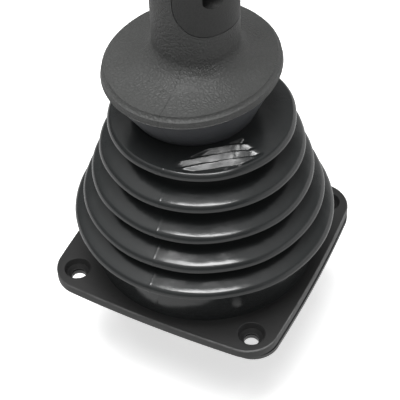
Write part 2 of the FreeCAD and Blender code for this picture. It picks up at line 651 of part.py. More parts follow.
def make_sensor_pot():
    pot_low = "(plate_t - pot_flange_t - pot_depth)"
    floor_z = "(plate_t - pot_floor_t)"
    solids = [
        cylinder("sensor_pot_flange", "pot_flange_r", "pot_flange_t", ("0", "0", "plate_t - pot_flange_t")),
        tube("sensor_pot_wall", "pot_r", "pot_r - pot_wall", "pot_depth", ("0", "0", pot_low)),
    ]
    hollow = cylinder("sensor_pot_hollow", "pot_r - pot_wall", f"{floor_z} - {pot_low}", ("0", "0", pot_low))
    bosses = []
    for i, (x, y, z) in enumerate(square_spots("pot_screw_pitch", f"{floor_z} - pot_boss_t")):
        bosses.append(cylinder(
            f"sensor_pot_boss_{i}", "pot_boss_r", "pot_boss_t + pot_floor_t / 2", (x, y, z),
        ))
    for i, (x, y) in enumerate(CROSS_POINTS):
        at = (f"{x} * cover_screw_at", f"{y} * cover_screw_at", pot_low)
        bosses.append(cylinder(f"sensor_pot_cover_boss_{i}", "cover_boss_r", "cover_boss_t", at))
    body = fuse("sensor_pot_solid", [
        cut("sensor_pot_shell", fuse("sensor_pot_outside", solids), hollow), *bosses,
    ])
    inside = common(
        "sensor_pot_trimmed", body,
        cylinder("sensor_pot_limit", "pot_flange_r", "pot_depth + pot_flange_t", ("0", "0", pot_low)),
    )
    holes = [cylinder("sensor_pot_opening", "base_ring_bore", "pot_floor_t", ("0", "0", floor_z))]
    boss_low = f"{floor_z} - pot_boss_t"
    for i, (x, y, z) in enumerate(square_spots("pot_screw_pitch", boss_low)):
        holes.append(cylinder(
            f"sensor_pot_thread_{i}", "pot_screw_r + fit_gap", "pot_boss_t / 2 + pot_floor_t",
            (x, y, f"{boss_low} + pot_boss_t / 2"),
        ))
        holes.append(cylinder(
            f"sensor_pot_board_thread_{i}", "board_screw_r + fit_gap", "board_screw_l", (x, y, z),
        ))
    for i, (x, y) in enumerate(CROSS_POINTS):
        at = (f"{x} * cover_screw_at", f"{y} * cover_screw_at", pot_low)
        holes.append(cylinder(
            f"sensor_pot_cover_thread_{i}", "pot_screw_r + fit_gap", "cover_boss_t - cover_t", at,
        ))
    node("sensor_pot", cut("sensor_pot", inside, fuse("sensor_pot_holes", holes)))

    screw_z = "(plate_t + base_ring_t)"
    screws("gimbal_screws", square_spots("frame_screw_pitch", screw_z), "frame_screw_r",
           "base_ring_t + plate_t", "frame_screw_r * head_factor", "head_t")
    screws("pot_screws", square_spots("pot_screw_pitch", screw_z), "pot_screw_r",
           "base_ring_t + pot_floor_t + pot_boss_t / 2 - fit_gap", "pot_screw_r * head_factor", "head_t")


def make_sensor_electronics():
    board_top = "(plate_t - pot_floor_t - pot_boss_t)"
    board_low = f"({board_top} - board_t)"
    disc = cylinder("sensor_board_disc", "board_r", "board_t", ("0", "0", board_low))
    holes = [
        cylinder(f"sensor_board_hole_{i}", "board_screw_r + fit_gap", "board_t", at)
        for i, at in enumerate(square_spots("pot_screw_pitch", board_low))
    ]
    node("sensor_board", cut("sensor_board", disc, fuse("sensor_board_holes", holes)))
    screws("board_screws", square_spots("pot_screw_pitch", board_low), "board_screw_r",
           "board_t + board_screw_l - fit_gap", "board_screw_r * head_factor", "head_t / 2", head_up=False)
    node("hall_sensor", box(
        "hall_sensor", ("-hall_side / 2", "-hall_side / 2", board_top),
        ("hall_side / 2", "hall_side / 2", f"{board_top} + hall_t"),
    ))
    chips = []
    for i, (sx, sy) in enumerate(PATTERN_CORNERS[:3]):
        low = (
            f"{sx} * chip_at - chip_side / 2", f"{sy} * chip_at / 2 - chip_side / 2", f"{board_low} - chip_t",
        )
        high = (f"{sx} * chip_at + chip_side / 2", f"{sy} * chip_at / 2 + chip_side / 2", board_low)
        chips.append(box(f"board_chip_{i}", low, high))
    node("board_chips", fuse("board_chips", chips))


def make_pot_cover():
    pot_low = "(plate_t - pot_flange_t - pot_depth)"
    seal_low = f"({pot_low} - seal_t)"
    cover_low = f"({seal_low} - cover_t)"
    node("cover_seal", tube("cover_seal", "pot_r", "pot_r - seal_w", "seal_t", ("0", "0", seal_low)))
    disc = cylinder("pot_cover_disc", "pot_r", "cover_t", ("0", "0", cover_low))
    holes = [cylinder("pot_cover_plug_hole", "plug_r + fit_gap", "cover_t", ("0", "0", cover_low))]
    spots = []
    for i, (x, y) in enumerate(CROSS_POINTS):
        at = (f"{x} * cover_screw_at", f"{y} * cover_screw_at", cover_low)
        holes.append(cylinder(f"pot_cover_hole_{i}", "pot_screw_r + screw_clearance", "cover_t", at))
        spots.append(at)
    node("pot_cover", cut("pot_cover", disc, fuse("pot_cover_holes", holes)))
    screws(
        "cover_screws", spots, "pot_screw_r", "cover_screw_l", "pot_screw_r * head_factor", "head_t",
        head_up=False,
    )

    node("connector_body", revolve_body("connector_body", (
        ("0", f"{cover_low} + plug_neck"),
        ("plug_r", f"{cover_low} + plug_neck"),
        ("plug_r", cover_low),
        ("plug_flange_r", cover_low),
        ("plug_flange_r", f"{cover_low} - plug_flange_t"),
        ("plug_r", f"{cover_low} - plug_flange_t"),
        ("plug_r", f"{cover_low} - plug_flange_t - plug_l"),
        ("plug_recess_r", f"{cover_low} - plug_flange_t - plug_l"),
        ("plug_recess_r", f"{cover_low} - plug_flange_t - plug_l + plug_recess"),
        ("0", f"{cover_low} - plug_flange_t - plug_l + plug_recess"),
    )))
    nut_z = f"{cover_low} + cover_t"
    node("connector_nut", cut(
        "connector_nut", hex_prism("connector_nut_hex", "plug_nut_flats", "plug_nut_t", ("0", "0", nut_z)),
        cylinder("connector_nut_bore", "plug_r + fit_gap", "plug_nut_t", ("0", "0", nut_z)),
    ))
    pins = []
    floor_z = f"({cover_low} - plug_flange_t - plug_l + plug_recess)"
    for i in range(5):
        at = (f"contact_ring * cos({72 * i})", f"contact_ring * sin({72 * i})", f"{floor_z} - contact_l")
        pins.append(cylinder(f"connector_pin_{i}", "contact_r", "contact_l", at))
    node("connector_pins", fuse("connector_pins", pins))


# Grip

def ring_halves(shift, half_x, half_y, height):
    """A smooth closed oval across the grip at one height above the flange, as a left and a right half."""
    points = [
        FreeCAD.Vector(
            shift - half_x * math.cos(2 * math.pi * k / RING_POINTS),
            -half_y * math.sin(2 * math.pi * k / RING_POINTS),
            number(TOP) + height,
        )
        for k in range(RING_POINTS)
    ]
    halves = []
    for first, last in ((0, 0.5), (0.5, 1)):
        curve = Part.BSplineCurve()
        curve.interpolate(
            points, PeriodicFlag=True, Parameters=[k / RING_POINTS for k in range(RING_POINTS + 1)],
        )
        curve.segment(first, last)
        halves.append(curve)
    return halves


def skin(curves, spots):
    """One face through a row of curves: each of their poles runs on as a smooth curve of its own."""
    rows = []
    for poles in zip(*(curve.getPoles() for curve in curves)):
        along = Part.BSplineCurve()
        along.interpolate(list(poles), Parameters=spots)
        rows.append(along)
    surface = Part.BSplineSurface()
    surface.buildFromPolesMultsKnots(
        [row.getPoles() for row in rows], curves[0].getMultiplicities(), rows[0].getMultiplicities(),
        curves[0].getKnots(), rows[0].getKnots(), False, False, curves[0].Degree, rows[0].Degree,
    )
    return surface.toShape()


def blend(a, b, share):
    return a + (b - a) * share


def palm_sections():
    """Ovals from the skirt's lower edge, round the rolled rim, over the dish and up the straight neck."""
    rim_x, rim_y, rim_h, roll = (number(v) for v in ("rim_x", "rim_y", RIM, "rim_roll"))
    skirt_x, skirt_y, skirt_h = (number(v) for v in ("skirt_x", "skirt_y", "collar_base_h + skirt_gap"))
    neck_r, neck_h = number("neck_r"), number(NECK)
    skirt_shift, rim_shift, neck_shift = (number(v) for v in ("skirt_shift", "rim_shift", "neck_shift"))
    sections = [(skirt_shift, skirt_x, skirt_y, skirt_h)]
    under = math.radians(-60)
    low_x, low_y = (r - roll * (1 - math.cos(under)) for r in (rim_x, rim_y))
    low_h = rim_h + roll * math.sin(under)
    sections.append((
        blend(skirt_shift, rim_shift, 0.5), blend(skirt_x, low_x, 0.5), blend(skirt_y, low_y, 0.5),
        blend(skirt_h, low_h, 0.5),
    ))
    for degrees in (-60, -30, 0, 30, 56):
        angle = math.radians(degrees)
        inward = roll * (1 - math.cos(angle))
        sections.append((rim_shift, rim_x - inward, rim_y - inward, rim_h + roll * math.sin(angle)))
    top_x, top_y, top_h = rim_x - 0.6 * roll, rim_y - 0.6 * roll, rim_h + 1.03 * roll
    for degrees in (8, 22, 38, 54, 72, 90):
        angle = math.radians(degrees)
        share = math.sin(angle)
        sections.append((
            blend(rim_shift, neck_shift, share), blend(top_x, neck_r, share), blend(top_y, neck_r, share),
            top_h + (neck_h - top_h) * (1 - math.cos(angle)),
        ))
    straight = number("floor_up + neck_l")
    sections += [(neck_shift, neck_r, neck_r, neck_h + straight * share) for share in (0.08, 0.25, 0.55)]
    return sections


def handle_sections(wall=0.0):
    """Ovals up the handle through neck, hand, throat, head and crown, eased from each to the next."""
    keys = [tuple(number(v) for v in (f"{FLOOR} + neck_l", "neck_shift", "neck_r", "neck_r"))]
    for name, height in (("hand", HAND), ("throat", THROAT), ("head", HEAD), ("crown", CROWN)):
        keys.append(tuple(number(v) for v in (height, f"{name}_shift", f"{name}_x", f"{name}_y")))
    slopes = [[0.0] * 3]
    for before, after in zip(keys, keys[2:]):
        slopes.append([(after[i] - before[i]) / (after[0] - before[0]) for i in (1, 2, 3)])
    slopes.append([(keys[-1][i] - keys[-2][i]) / (keys[-1][0] - keys[-2][0]) for i in (1, 2, 3)])
    rows = []
    for low, high, m_low, m_high in zip(keys, keys[1:], slopes, slopes[1:]):
        span = high[0] - low[0]
        steps = max(2, round(span / number("section_step")))
        for step in range(steps):
            t = step / steps
            eased = [
                (2 * t**3 - 3 * t**2 + 1) * low[i] + (t**3 - 2 * t**2 + t) * span * m_low[i - 1]
                + (3 * t**2 - 2 * t**3) * high[i] + (t**3 - t**2) * span * m_high[i - 1]
                for i in (1, 2, 3)
            ]
            rows.append((eased[0], eased[1] - wall, eased[2] - wall, low[0] + t * span))
    rows.append((keys[-1][1], keys[-1][2] - wall, keys[-1][3] - wall, keys[-1][0]))
    return rows


def loft(name, sections):
    """A solid through the ovals, spaced along its height by their mean distance."""
    rings = [ring_halves(*row) for row in sections]
    spots = [0.0]
    for before, after in zip(rings, rings[1:]):
        steps = [p.distanceToPoint(q) for p, q in zip(before[0].getPoles(), after[0].getPoles())]
        spots.append(spots[-1] + sum(steps) / len(steps))
    faces = [skin([ring[side] for ring in rings], spots) for side in (0, 1)]
    faces += [Part.Face(Part.Wire([half.toShape() for half in ring])) for ring in (rings[0], rings[-1])]
    shell = Part.makeShell(faces)
    shell.sewShape()
    solid = Part.makeSolid(shell)
    if solid.Volume < 0:
        solid.reverse()
    thing = doc.addObject("Part::Feature", name)
    thing.Shape = solid
    return thing


def half_space(name, w, thickness):
    """A slab square to the slanted top, from w along its normal."""
    thing = doc.addObject("Part::Box", name)
    bind(thing, "Length", "5 * crown_x")
    bind(thing, "Width", "5 * crown_y")
    bind(thing, "Height", thickness)
    place(thing, on_face("-2.5 * crown_x", "-2.5 * crown_y", w))
    return tilt_to_face(thing)


def grip_boss_spots():
    return [(y, f"{TOP} + {h}") for h in (f"{FLOOR} + grip_boss_low_up", f"{HAND} + grip_boss_high_up")
            for y in ("grip_boss_y", "-grip_boss_y")]


def make_grip_blank():
    """The whole grip before it is parted: outer form, cavity with its screw posts, spigot and bore."""
    wall = number("grip_wall")
    neck = (number("neck_shift"), number("neck_r") - wall, number("neck_r") - wall)
    outside = loft("grip_outside", palm_sections() + handle_sections())
    neck_rows = [(*neck, number(f"{FLOOR} + neck_l * {k} / 3")) for k in range(3)]
    inside = loft("grip_inside", neck_rows + handle_sections(wall))
    posts = [
        cylinder(f"grip_post_{i}", "grip_boss_r", "2 * crown_x", ("-crown_x", y, z), ALONG_X)
        for i, (y, z) in enumerate(grip_boss_spots())
    ]
    slot_y = "(trigger_half_y + trigger_gap)"
    top = TRIGGER_Z
    for side, low in (("left", slot_y), ("right", f"-{slot_y} - trigger_lug_t")):
        far = ("crown_x * 2", f"{low} + trigger_lug_t")
        posts.append(box(
            f"trigger_lug_{side}",
            ("trigger_x - trigger_hub_r - 1", low, f"{top} - trigger_lug_l"),
            (*far, f"{top} + trigger_hub_r"),
        ))
        posts.append(box(
            f"trigger_rail_{side}",
            ("trigger_lug_in", low, f"{top} - trigger_lug_l"),
            (*far, f"{top} - trigger_lug_l / 3"),
        ))
    cavity = cut("grip_cavity", inside, fuse("grip_posts", posts))

    room = "(collar_l + collar_room)"
    hollow = tube(
        "grip_skirt_hollow", "skirt_hollow_r", "spigot_r", room, ("0", "0", f"{TOP} + collar_base_h"),
    )
    removed = fuse("grip_removed", [half_space("grip_above_face", "0", "3 * crown_x"), hollow])
    spigot = cylinder("grip_spigot", "spigot_r", f"spigot_out + {room} / 2", ("0", "0", SPIGOT_LOW))
    solid = fuse("grip_with_spigot", [cut("grip_trimmed", outside, removed), spigot])
    bore_l = f"{FLOOR} + nut_t - collar_base_h + spigot_out"
    bore = cylinder("grip_bore", "rod_r + fit_gap", bore_l, ("0", "0", SPIGOT_LOW))
    return cut("grip_blank", cut("grip_hollowed", solid, cavity), bore)


def cover_tool(name, inset):
    """The space the front cover may fill: upright at the back, flat below, with a rounded heel between."""
    near, low = f"(split_x + {inset})", f"({TOP} + {FLOOR} + cover_up + {inset})"
    far, high = f"({near} + 3 * crown_x)", f"({TOP} + {CROWN} + crown_y)"
    body = doc.addObject("PartDesign::Body", name)
    sketch = new_sketch(body, name + "_side", "XZ_Plane")
    outline(sketch, "side", (
        (near, f"{low} + cover_round", "cover_round", -1),
        (f"{near} + cover_round", low),
        (far, low),
        (far, high),
        (near, high),
    ))
    pad = body.newObject("PartDesign::Pad", name + "_pad")
    pad.Profile = sketch
    pad.Midplane = True
    bind(pad, "Length", "4 * crown_y")
    return body


def make_grip():
    blank = make_grip_blank()
    rear_holes, front_holes, screw_pieces = [], [], []
    for i, (y, z) in enumerate(grip_boss_spots()):
        rear_holes.append(cylinder(f"rear_pilot_{i}", "grip_screw_r + fit_gap", "grip_screw_l",
                                   ("grip_seat_x - grip_screw_l", y, z), ALONG_X))
        front_holes.append(cylinder(f"front_hole_{i}", "grip_screw_r + screw_clearance", "2 * crown_x",
                                    ("split_x", y, z), ALONG_X))
        front_holes.append(cylinder(f"front_sink_{i}", "grip_head_r + screw_clearance", "2 * crown_x",
                                    ("grip_seat_x", y, z), ALONG_X))
        screw_pieces.append(cylinder(f"shell_screw_shank_{i}", "grip_screw_r", "grip_screw_l - fit_gap",
                                     ("grip_seat_x - grip_screw_l + fit_gap", y, z), ALONG_X))
        screw_pieces.append(cylinder(f"shell_screw_head_{i}", "grip_head_r", "grip_head_t",
                                     ("grip_seat_x", y, z), ALONG_X))
    rear_holes.append(cover_tool("cover_space", "0"))
    node("grip_rear_shell", cut("grip_rear_shell", blank, fuse("rear_holes", rear_holes)))

    slot_y = "(trigger_half_y + trigger_gap)"
    front_holes.append(box(
        "trigger_slot",
        ("throat_x - grip_wall - 6", f"-{slot_y}", f"{TRIGGER_Z} - trigger_l - 2"),
        ("crown_x * 2", slot_y, f"{TRIGGER_Z} + trigger_hub_r + 2"),
    ))
    front_holes.append(cylinder(
        "trigger_pin_hole", "trigger_pin_r + fit_gap", f"2 * ({slot_y} + trigger_lug_t)",
        ("trigger_x", f"-{slot_y} - trigger_lug_t", TRIGGER_Z), ALONG_Y,
    ))
    half = common("grip_front_half", blank, cover_tool("cover_form", "seam_gap"))
    node("grip_front_shell", cut("grip_front_shell", half, fuse("front_holes", front_holes)))
    node("shell_screws", fuse("shell_screws", screw_pieces))


# Switch plate, buttons and trigger

def button_spots():
    return (("button_left", "button_at"), ("button_right", "-button_at"))


def make_switch_plate():
    slab = half_space("switch_plate_slab", "0", "switch_plate_t")
    outline_copy = loft("switch_plate_outline", handle_sections())
    posts = []
    for i, (su, sv) in enumerate(PATTERN_CORNERS):
        at = on_face(f"{su} * post_at_u", f"{sv} * post_at_y", "-button_stem_l - button_flange_t - board_drop")
        posts.append(tilt_to_face(cylinder(
            f"switch_plate_post_{i}", "post_r",
            "button_stem_l + button_flange_t + board_drop + switch_plate_t / 2", at,
        )))
    plate = fuse("switch_plate_solid", [common("switch_plate_disc", slab, outline_copy), *posts])
    holes = []
    for name, y in button_spots():
        at = on_face("0", y, "-1")
        holes.append(tilt_to_face(cylinder(
            f"{name}_hole", "button_r + button_gap", "switch_plate_t + 2", at,
        )))
    node("switch_plate", cut("switch_plate", plate, fuse("switch_plate_holes", holes)))


def make_buttons():
    low = "(-button_flange_t)"
    high = "(switch_plate_t + button_out)"
    for name, y in button_spots():
        body = revolve_body(name, (
            ("0", f"{low} - button_stem_l"),
            ("button_stem_r", f"{low} - button_stem_l"),
            ("button_stem_r", low),
            ("button_r + button_flange", low),
            ("button_r + button_flange", "0"),
            ("button_r", "0"),
            ("button_r", f"{high} - button_dome", "button_dome * 1.6", 1),
            ("button_r - button_dome", high),
            ("0", f"{high}"),
        ))
        place(body, on_face("0", y, "0"))
        tilt_to_face(body)
        node(name, body)


def make_switch_board():
    board_top = "(-button_stem_l - button_flange_t - board_drop)"
    at = on_face("-panel_board_x / 2", "-panel_board_y / 2", f"{board_top} - board_t")
    board = doc.addObject("Part::Box", "switch_board")
    bind(board, "Length", "panel_board_x")
    bind(board, "Width", "panel_board_y")
    bind(board, "Height", "board_t")
    node("switch_board", tilt_to_face(place(board, at)))
    switches = []
    for name, y in button_spots():
        base = doc.addObject("Part::Box", f"{name}_switch")
        bind(base, "Length", "switch_side")
        bind(base, "Width", "switch_side")
        bind(base, "Height", "switch_t")
        place(base, on_face("-switch_side / 2", f"{y} - switch_side / 2", board_top))
        tilt_to_face(base)
        key_at = on_face("0", y, f"{board_top} + switch_t")
        key = tilt_to_face(cylinder(f"{name}_key", "key_r", "key_t", key_at))
        switches.append(fuse(f"{name}_switch_unit", [base, key]))
    node("button_switches", fuse("button_switches", switches))


def make_trigger():
    """A finger lever hung from a cross pin at its top, hollowed where the finger lies."""
    body = doc.addObject("PartDesign::Body", "trigger")
    sketch = new_sketch(body, "trigger_side", "XZ_Plane")
    top = TRIGGER_Z
    outline(sketch, "side", (
        ("trigger_x - trigger_hub_r", top, "trigger_hub_r * 1.05", 1),
        ("trigger_x + trigger_hub_r", f"{top} + trigger_hub_r / 3", "trigger_out", 1),
        ("trigger_x + trigger_out", f"{top} - trigger_l / 3", "trigger_l * 0.9", -1),
        ("trigger_x + trigger_out", f"{top} - trigger_l"),
        ("trigger_x + trigger_out - trigger_wall", f"{top} - trigger_l"),
        ("trigger_x + trigger_hub_r", f"{top} - trigger_l * 0.8"),
        ("trigger_x - trigger_hub_r", f"{top} - trigger_l * 0.8"),
    ))
    pad = body.newObject("PartDesign::Pad", "trigger_pad")
    pad.Profile = sketch
    pad.Midplane = True
    bind(pad, "Length", "2 * trigger_half_y")
    hole_tool = cylinder(
        "trigger_hole", "trigger_pin_r + running_gap", "4 * trigger_half_y",
        ("trigger_x", "-2 * trigger_half_y", top), ALONG_Y,
    )
    node("trigger", cut("trigger_part", body, hole_tool))
    reach = "(trigger_half_y + trigger_gap + trigger_lug_t)"
    node("trigger_pin", cylinder("trigger_pin", "trigger_pin_r", f"2 * {reach}",
                                 ("trigger_x", f"-{reach}", top), ALONG_Y))
    slot_y = "(trigger_half_y + trigger_gap)"
    low = f"({top} - trigger_l * 0.8)"
    case = box(
        "trigger_switch_case", ("trigger_lug_in", f"-{slot_y}", low),
        ("trigger_lug_in + trigger_switch_x", slot_y, f"{low} + trigger_switch_t"),
    )
    key = cylinder("trigger_switch_key", "trigger_key_r", "trigger_key_l",
                   ("trigger_lug_in + trigger_switch_x", "0", f"{low} + trigger_switch_t / 2"), ALONG_X)
    node("trigger_switch", fuse("trigger_switch", [case, key]))


def main():
    make_mounting_plate()
    make_flange_gasket()
    make_gaiter_frame()
    make_gaiter()
    make_collar_clip()
    make_gimbal_frame()
    make_trunnion_bushes()
    make_gimbal_ring()
    make_pin_bushes()
    make_springs()
    make_lever()
    make_sensor_pot()
    make_sensor_electronics()
    make_pot_cover()
    make_grip()
    make_switch_plate()
    make_buttons()
    make_switch_board()
    make_trigger()
    doc.recompute()

    faults = [f"{thing.Name}: {thing.State}" for thing in doc.Objects
              if "Invalid" in thing.State or "Error" in thing.State]
    for name, thing in nodes.items():
        if thing.Shape.isNull() or not thing.Shape.isValid() or not thing.Shape.Solids:
            faults.append(f"{name}: no valid solid")
    if faults:
        raise RuntimeError("; ".join(faults))
    os.makedirs("parts", exist_ok=True)
    for name, thing in nodes.items():
        thing.Shape.exportStep(f"parts/{name}.step")
        shape = thing.Shape
        print(f"{name}: {len(shape.Solids)} solid(s), {shape.Volume / 1000:.2f} cm3")


main()
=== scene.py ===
import json
import math

import bmesh
import bpy
import numpy as np
from mathutils import Matrix, Vector, noise


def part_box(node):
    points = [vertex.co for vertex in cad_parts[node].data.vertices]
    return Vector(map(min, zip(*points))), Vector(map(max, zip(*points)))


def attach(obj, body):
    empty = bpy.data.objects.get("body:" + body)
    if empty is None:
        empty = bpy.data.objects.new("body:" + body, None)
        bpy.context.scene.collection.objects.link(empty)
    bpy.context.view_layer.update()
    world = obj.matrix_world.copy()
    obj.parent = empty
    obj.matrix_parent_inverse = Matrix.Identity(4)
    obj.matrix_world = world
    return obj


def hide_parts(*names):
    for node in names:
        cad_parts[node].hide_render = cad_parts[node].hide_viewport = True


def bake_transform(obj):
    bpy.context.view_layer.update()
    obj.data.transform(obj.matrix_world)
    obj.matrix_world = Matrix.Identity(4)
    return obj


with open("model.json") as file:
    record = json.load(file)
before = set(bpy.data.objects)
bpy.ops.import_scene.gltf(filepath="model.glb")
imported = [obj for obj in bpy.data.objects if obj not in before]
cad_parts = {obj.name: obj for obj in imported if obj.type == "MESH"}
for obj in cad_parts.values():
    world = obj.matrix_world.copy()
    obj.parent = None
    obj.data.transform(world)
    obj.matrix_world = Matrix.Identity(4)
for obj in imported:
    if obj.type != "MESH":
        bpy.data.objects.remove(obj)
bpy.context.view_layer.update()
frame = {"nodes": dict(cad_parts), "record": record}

# Sizes are in millimetres, unless said otherwise. A name that ends in H is a height above the flange's top,
# one that ends in Z a height above the origin. Forward is +X, up is +Z.

MM = 0.001


def heights_of(node):
    """The lowest and the highest point of a node of the frame."""
    return [round(corner.z / MM, 2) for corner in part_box(node)]


FRAME_Z, FLANGE_TOP = heights_of("gaiter_frame")
FOOT_Z, COLLAR_TOP_Z = heights_of("gaiter")

# The gaiter, from the uppermost pleat down: a sharp rim, a rounded shoulder above it and a valley below

LIP_R = (40.0, 44.2, 48.6, 53.5, 58.4)
LIP_H = (74.4, 60.6, 47.15, 34.4, 22.9)
LAST = len(LIP_R) - 1
BEAD = 0.35
SHOULDER_IN, SHOULDER_UP, SHOULDER_ROUND = 1.6, 3.2, 3.0
VALLEY_DEPTH, VALLEY_ROUND, VALLEY_ROLL = 9.5, 1.5, 4.6
FLANK_SLOPE = 0.38
CUFF_R, CUFF_RISE, CUFF_DROP, CUFF_ROLL = 50.5, 0.3, 3.0, 2.6
FOOT_R, FOOT_T, FOOT_EDGE = 53.0, 1.9, 0.1
COLLAR_IN, COLLAR_OUT, COLLAR_FOOT_Z, COLLAR_EDGE = 18.2, 20.5, 88.6, 0.4
BEND_OUT, BEND_UP, BEND_DOWN, BEND_ROLL = 2.0, 1.2, 0.4, 2.4
RUBBER_T, LINING_R = 1.1, 17.95

# What keeps the rubber from looking perfect: slow waves, the mould's parting line, folds below the palm rest

WAVE_OUT, WAVE_UP, WAVE_IN, WAVE_GROWTH = 0.28, 0.35, 0.12, 14.0
HELD_Z, HELD_RISE = 8.5, 9.0
FLASH_ANGLE, FLASH_OUT, FLASH_HALF, FLASH_REACH = math.radians(-87.5), 0.13, 0.42, 1.6
FOLD_ANGLE, FOLD_SPREAD = math.radians(-52.0), math.radians(31.0)
FOLD_FROM, FOLD_LATER, FOLD_TO, FOLD_ABOVE = 26.0, 7.0, 37.8, 2.4
FOLD_STEP, FOLD_DEPTH, FOLD_RISE = 3.4, 1.35, 0.85

# The palm rest: ovals of half length X and half width Y, shifted along X, with the round neck above them and
# the hollow below. The outline of its rolled rim is given as (inward, up) from the rim.

RIM_X, RIM_Y, RIM_SHIFT, RIM_H, RIM_ROLL = 36.0, 40.1, -3.55, 101.7, 3.4
BAND_LOW, BAND_MIDDLE, BAND_HIGH, RIM_TOP = (0.42, -1.5), (0.05, -0.5), (0.42, 1.7), (2.04, 3.5)
FIN_FOOT, FIN = (0.12, -0.95), ((-0.1, -0.82), (-0.13, -0.7), (0.05, -0.55))
FIN_ROUND, RIM_ROUND = 0.8, 2.2
UNDER_IN, UNDER_DOWN = 0.5 * RIM_ROLL, math.sin(math.radians(60)) * RIM_ROLL
CROWN_IN, CROWN_UP = 0.6 * RIM_ROLL, 1.03 * RIM_ROLL
SKIRT_X, SKIRT_Y, SKIRT_SHIFT, SKIRT_H = 26.6, 27.0, -3.4, 80.6
HOLLOW_R, HOLLOW_UP, SPIGOT_R, SPIGOT_H, SEAT_GAP, SHAFT_R = 21.7, 10.7, 17.55, 79.6, 0.05, 6.1
NECK_R, NECK_SHIFT, NECK_H = 17.6, -1.5, 115.5

# The handle: (height, shift, half length, half width) at a few heights; its wall; the cavity, which begins in
# the neck; how far the screw posts keep below the outer side; and the slanted face on top

GRIP_KEYS = (
    (142.0, -1.5, 17.6, 17.6), (188.0, 0.8, 21.0, 18.6), (206.0, 1.2, 21.0, 19.6),
    (236.0, -1.6, 27.0, 25.6), (256.0, -2.6, 28.0, 26.4),
)
WALL, POST_SINK, CAVITY_H, POSTS_H = 3.0, 1.3, (118.0, 126.0, 134.0), 120.0
FACE_TILT, FACE_X, FACE_H = math.radians(25.0), -2.0, 234.0

# The front cover, its screw recesses (two pairs; the lower ones are longer downwards) and the trigger's slot

SPLIT_X, SEAM_GAP, COVER_ROUND, COVER_H = -2.1, 0.3, 14.0, 127.3
RECESS_Y, RECESS_H = 10.8, ((143.3, 147.5), (190.0, 190.0))
BOSS_R, BOSS_X, SINK_R, SINK_X, SCREW_R = 5.0, 2.6, 3.3, 4.5, 1.7
SLOT_X, SLOT_HALF, SLOT_H = 12.0, 6.5, (198.0, 228.4)

# The flange frame: a bowed square, its opening and rebate for the gaiter, and four bolt holes with funnels,
# whose stages are (from, to, radius below, radius above)

FRAME_HALF, FRAME_CORNER, FRAME_BOW, FRAME_ROUND, FRAME_EDGE = 54.4, 14.5, 1.2, 0.7, 0.12
OPENING_R, REBATE_R, REBATE_Z = 50.8, 53.1, 4.9
BOLT_AT = 43.5
BOLT_STAGES = ((0.0, 12.0, 3.4, 3.4), (3.4, 5.3, 3.4, 4.9), (5.0, 7.4, 4.8, 5.9), (6.9, 8.3, 5.3, 6.9))

# Marks on the surfaces: where the rear half's grain begins, creases at the neck's foot, the parting line, and
# the painted highlight on the frame's upper edge, which is found by its distance from the middle

GRAIN_Z = (107.9, 108.4)
CREASES_AT, CREASES_R = (9.3, -14.1, 121.1), (3.0, 8.5)
LINE_HALF, LINE_SWAY, LINE_Y = 0.32, 0.5, (-16.0, -20.0)
HIGHLIGHT_FROM, HIGHLIGHT_TO, HIGHLIGHT_CORNER, HIGHLIGHT_Z = 52.2, 52.8, 45.5, (6.8, 7.1)

# Points in metres at which a soft piece passes from one body to the next

GAITER_BENDS = (0, 0, 0.0105), (0, 0, 0.0535), (0, 0, 0.0895)
SIDE_SPRING_TWIST = (0.0217, 0, 0.022), (0.0248, 0, 0.022)
FORE_SPRING_TWIST = (0, 0.0108, 0.022), (0, 0.0126, 0.022)

# The camera, in degrees round from -Y towards +X, up and rolled. The lights' aim and the floor are in metres.

CAMERA_ROUND, CAMERA_UP, CAMERA_ROLL = 27.8, 46.1, -2.02
CAMERA_LENS, CAMERA_SENSOR, CAMERA_AWAY = 101.4, 36.0, 486.0
CAMERA_AIM = (5.95, -15.50, 40.0 + FLANGE_TOP)
LIGHT_AIM = (0, 0, 0.08)
FLOOR_SIZE, FLOOR_GAP = 3.0, 0.0006


# Node materials

def new_material(name):
    material = bpy.data.materials.new(name)
    material.use_nodes = True
    tree = material.node_tree
    tree.nodes.clear()
    return material, tree


def add(tree, kind, inputs=None, **settings):
    """A new node whose inputs are numbers, colours or other nodes' outputs."""
    item = tree.nodes.new(kind)
    for key, value in settings.items():
        setattr(item, key, value)
    for key, value in (inputs or {}).items():
        if hasattr(value, "is_output"):
            tree.links.new(value, item.inputs[key])
        else:
            item.inputs[key].default_value = value
    return item


def number(tree, operation, *values):
    return add(tree, "ShaderNodeMath", dict(enumerate(values)), operation=operation).outputs[0]


def vector(tree, operation, *values):
    """Both outputs of a vector node: the vector, then the plain number."""
    return add(tree, "ShaderNodeVectorMath", dict(enumerate(values)), operation=operation).outputs


def axes(tree, value):
    return add(tree, "ShaderNodeSeparateXYZ", {"Vector": value}).outputs


def place_on_object(tree):
    return add(tree, "ShaderNodeTexCoord").outputs["Object"]


def ramp(tree, value, low, high, to_low=0.0, to_high=1.0):
    return add(tree, "ShaderNodeMapRange", {
        "Value": value, "From Min": low, "From Max": high, "To Min": to_low, "To Max": to_high,
    }).outputs["Result"]


def mix_colour(tree, share, a, b):
    return add(tree, "ShaderNodeMix", {0: share, 6: a, 7: b}, data_type="RGBA").outputs[2]


def mix_shader(tree, share, a, b):
    return add(tree, "ShaderNodeMixShader", {0: share, 1: a, 2: b}).outputs[0]


def grey(value, tint=(1.0, 1.0, 1.0)):
    return (value * tint[0], value * tint[1], value * tint[2], 1.0)


def noise_of(tree, position, scale, detail=3.0, rough=0.55, output="Fac"):
    return add(tree, "ShaderNodeTexNoise", {
        "Vector": position, "Scale": scale, "Detail": detail, "Roughness": rough,
    }).outputs[output]


def pointiness(tree):
    return add(tree, "ShaderNodeNewGeometry").outputs["Pointiness"]


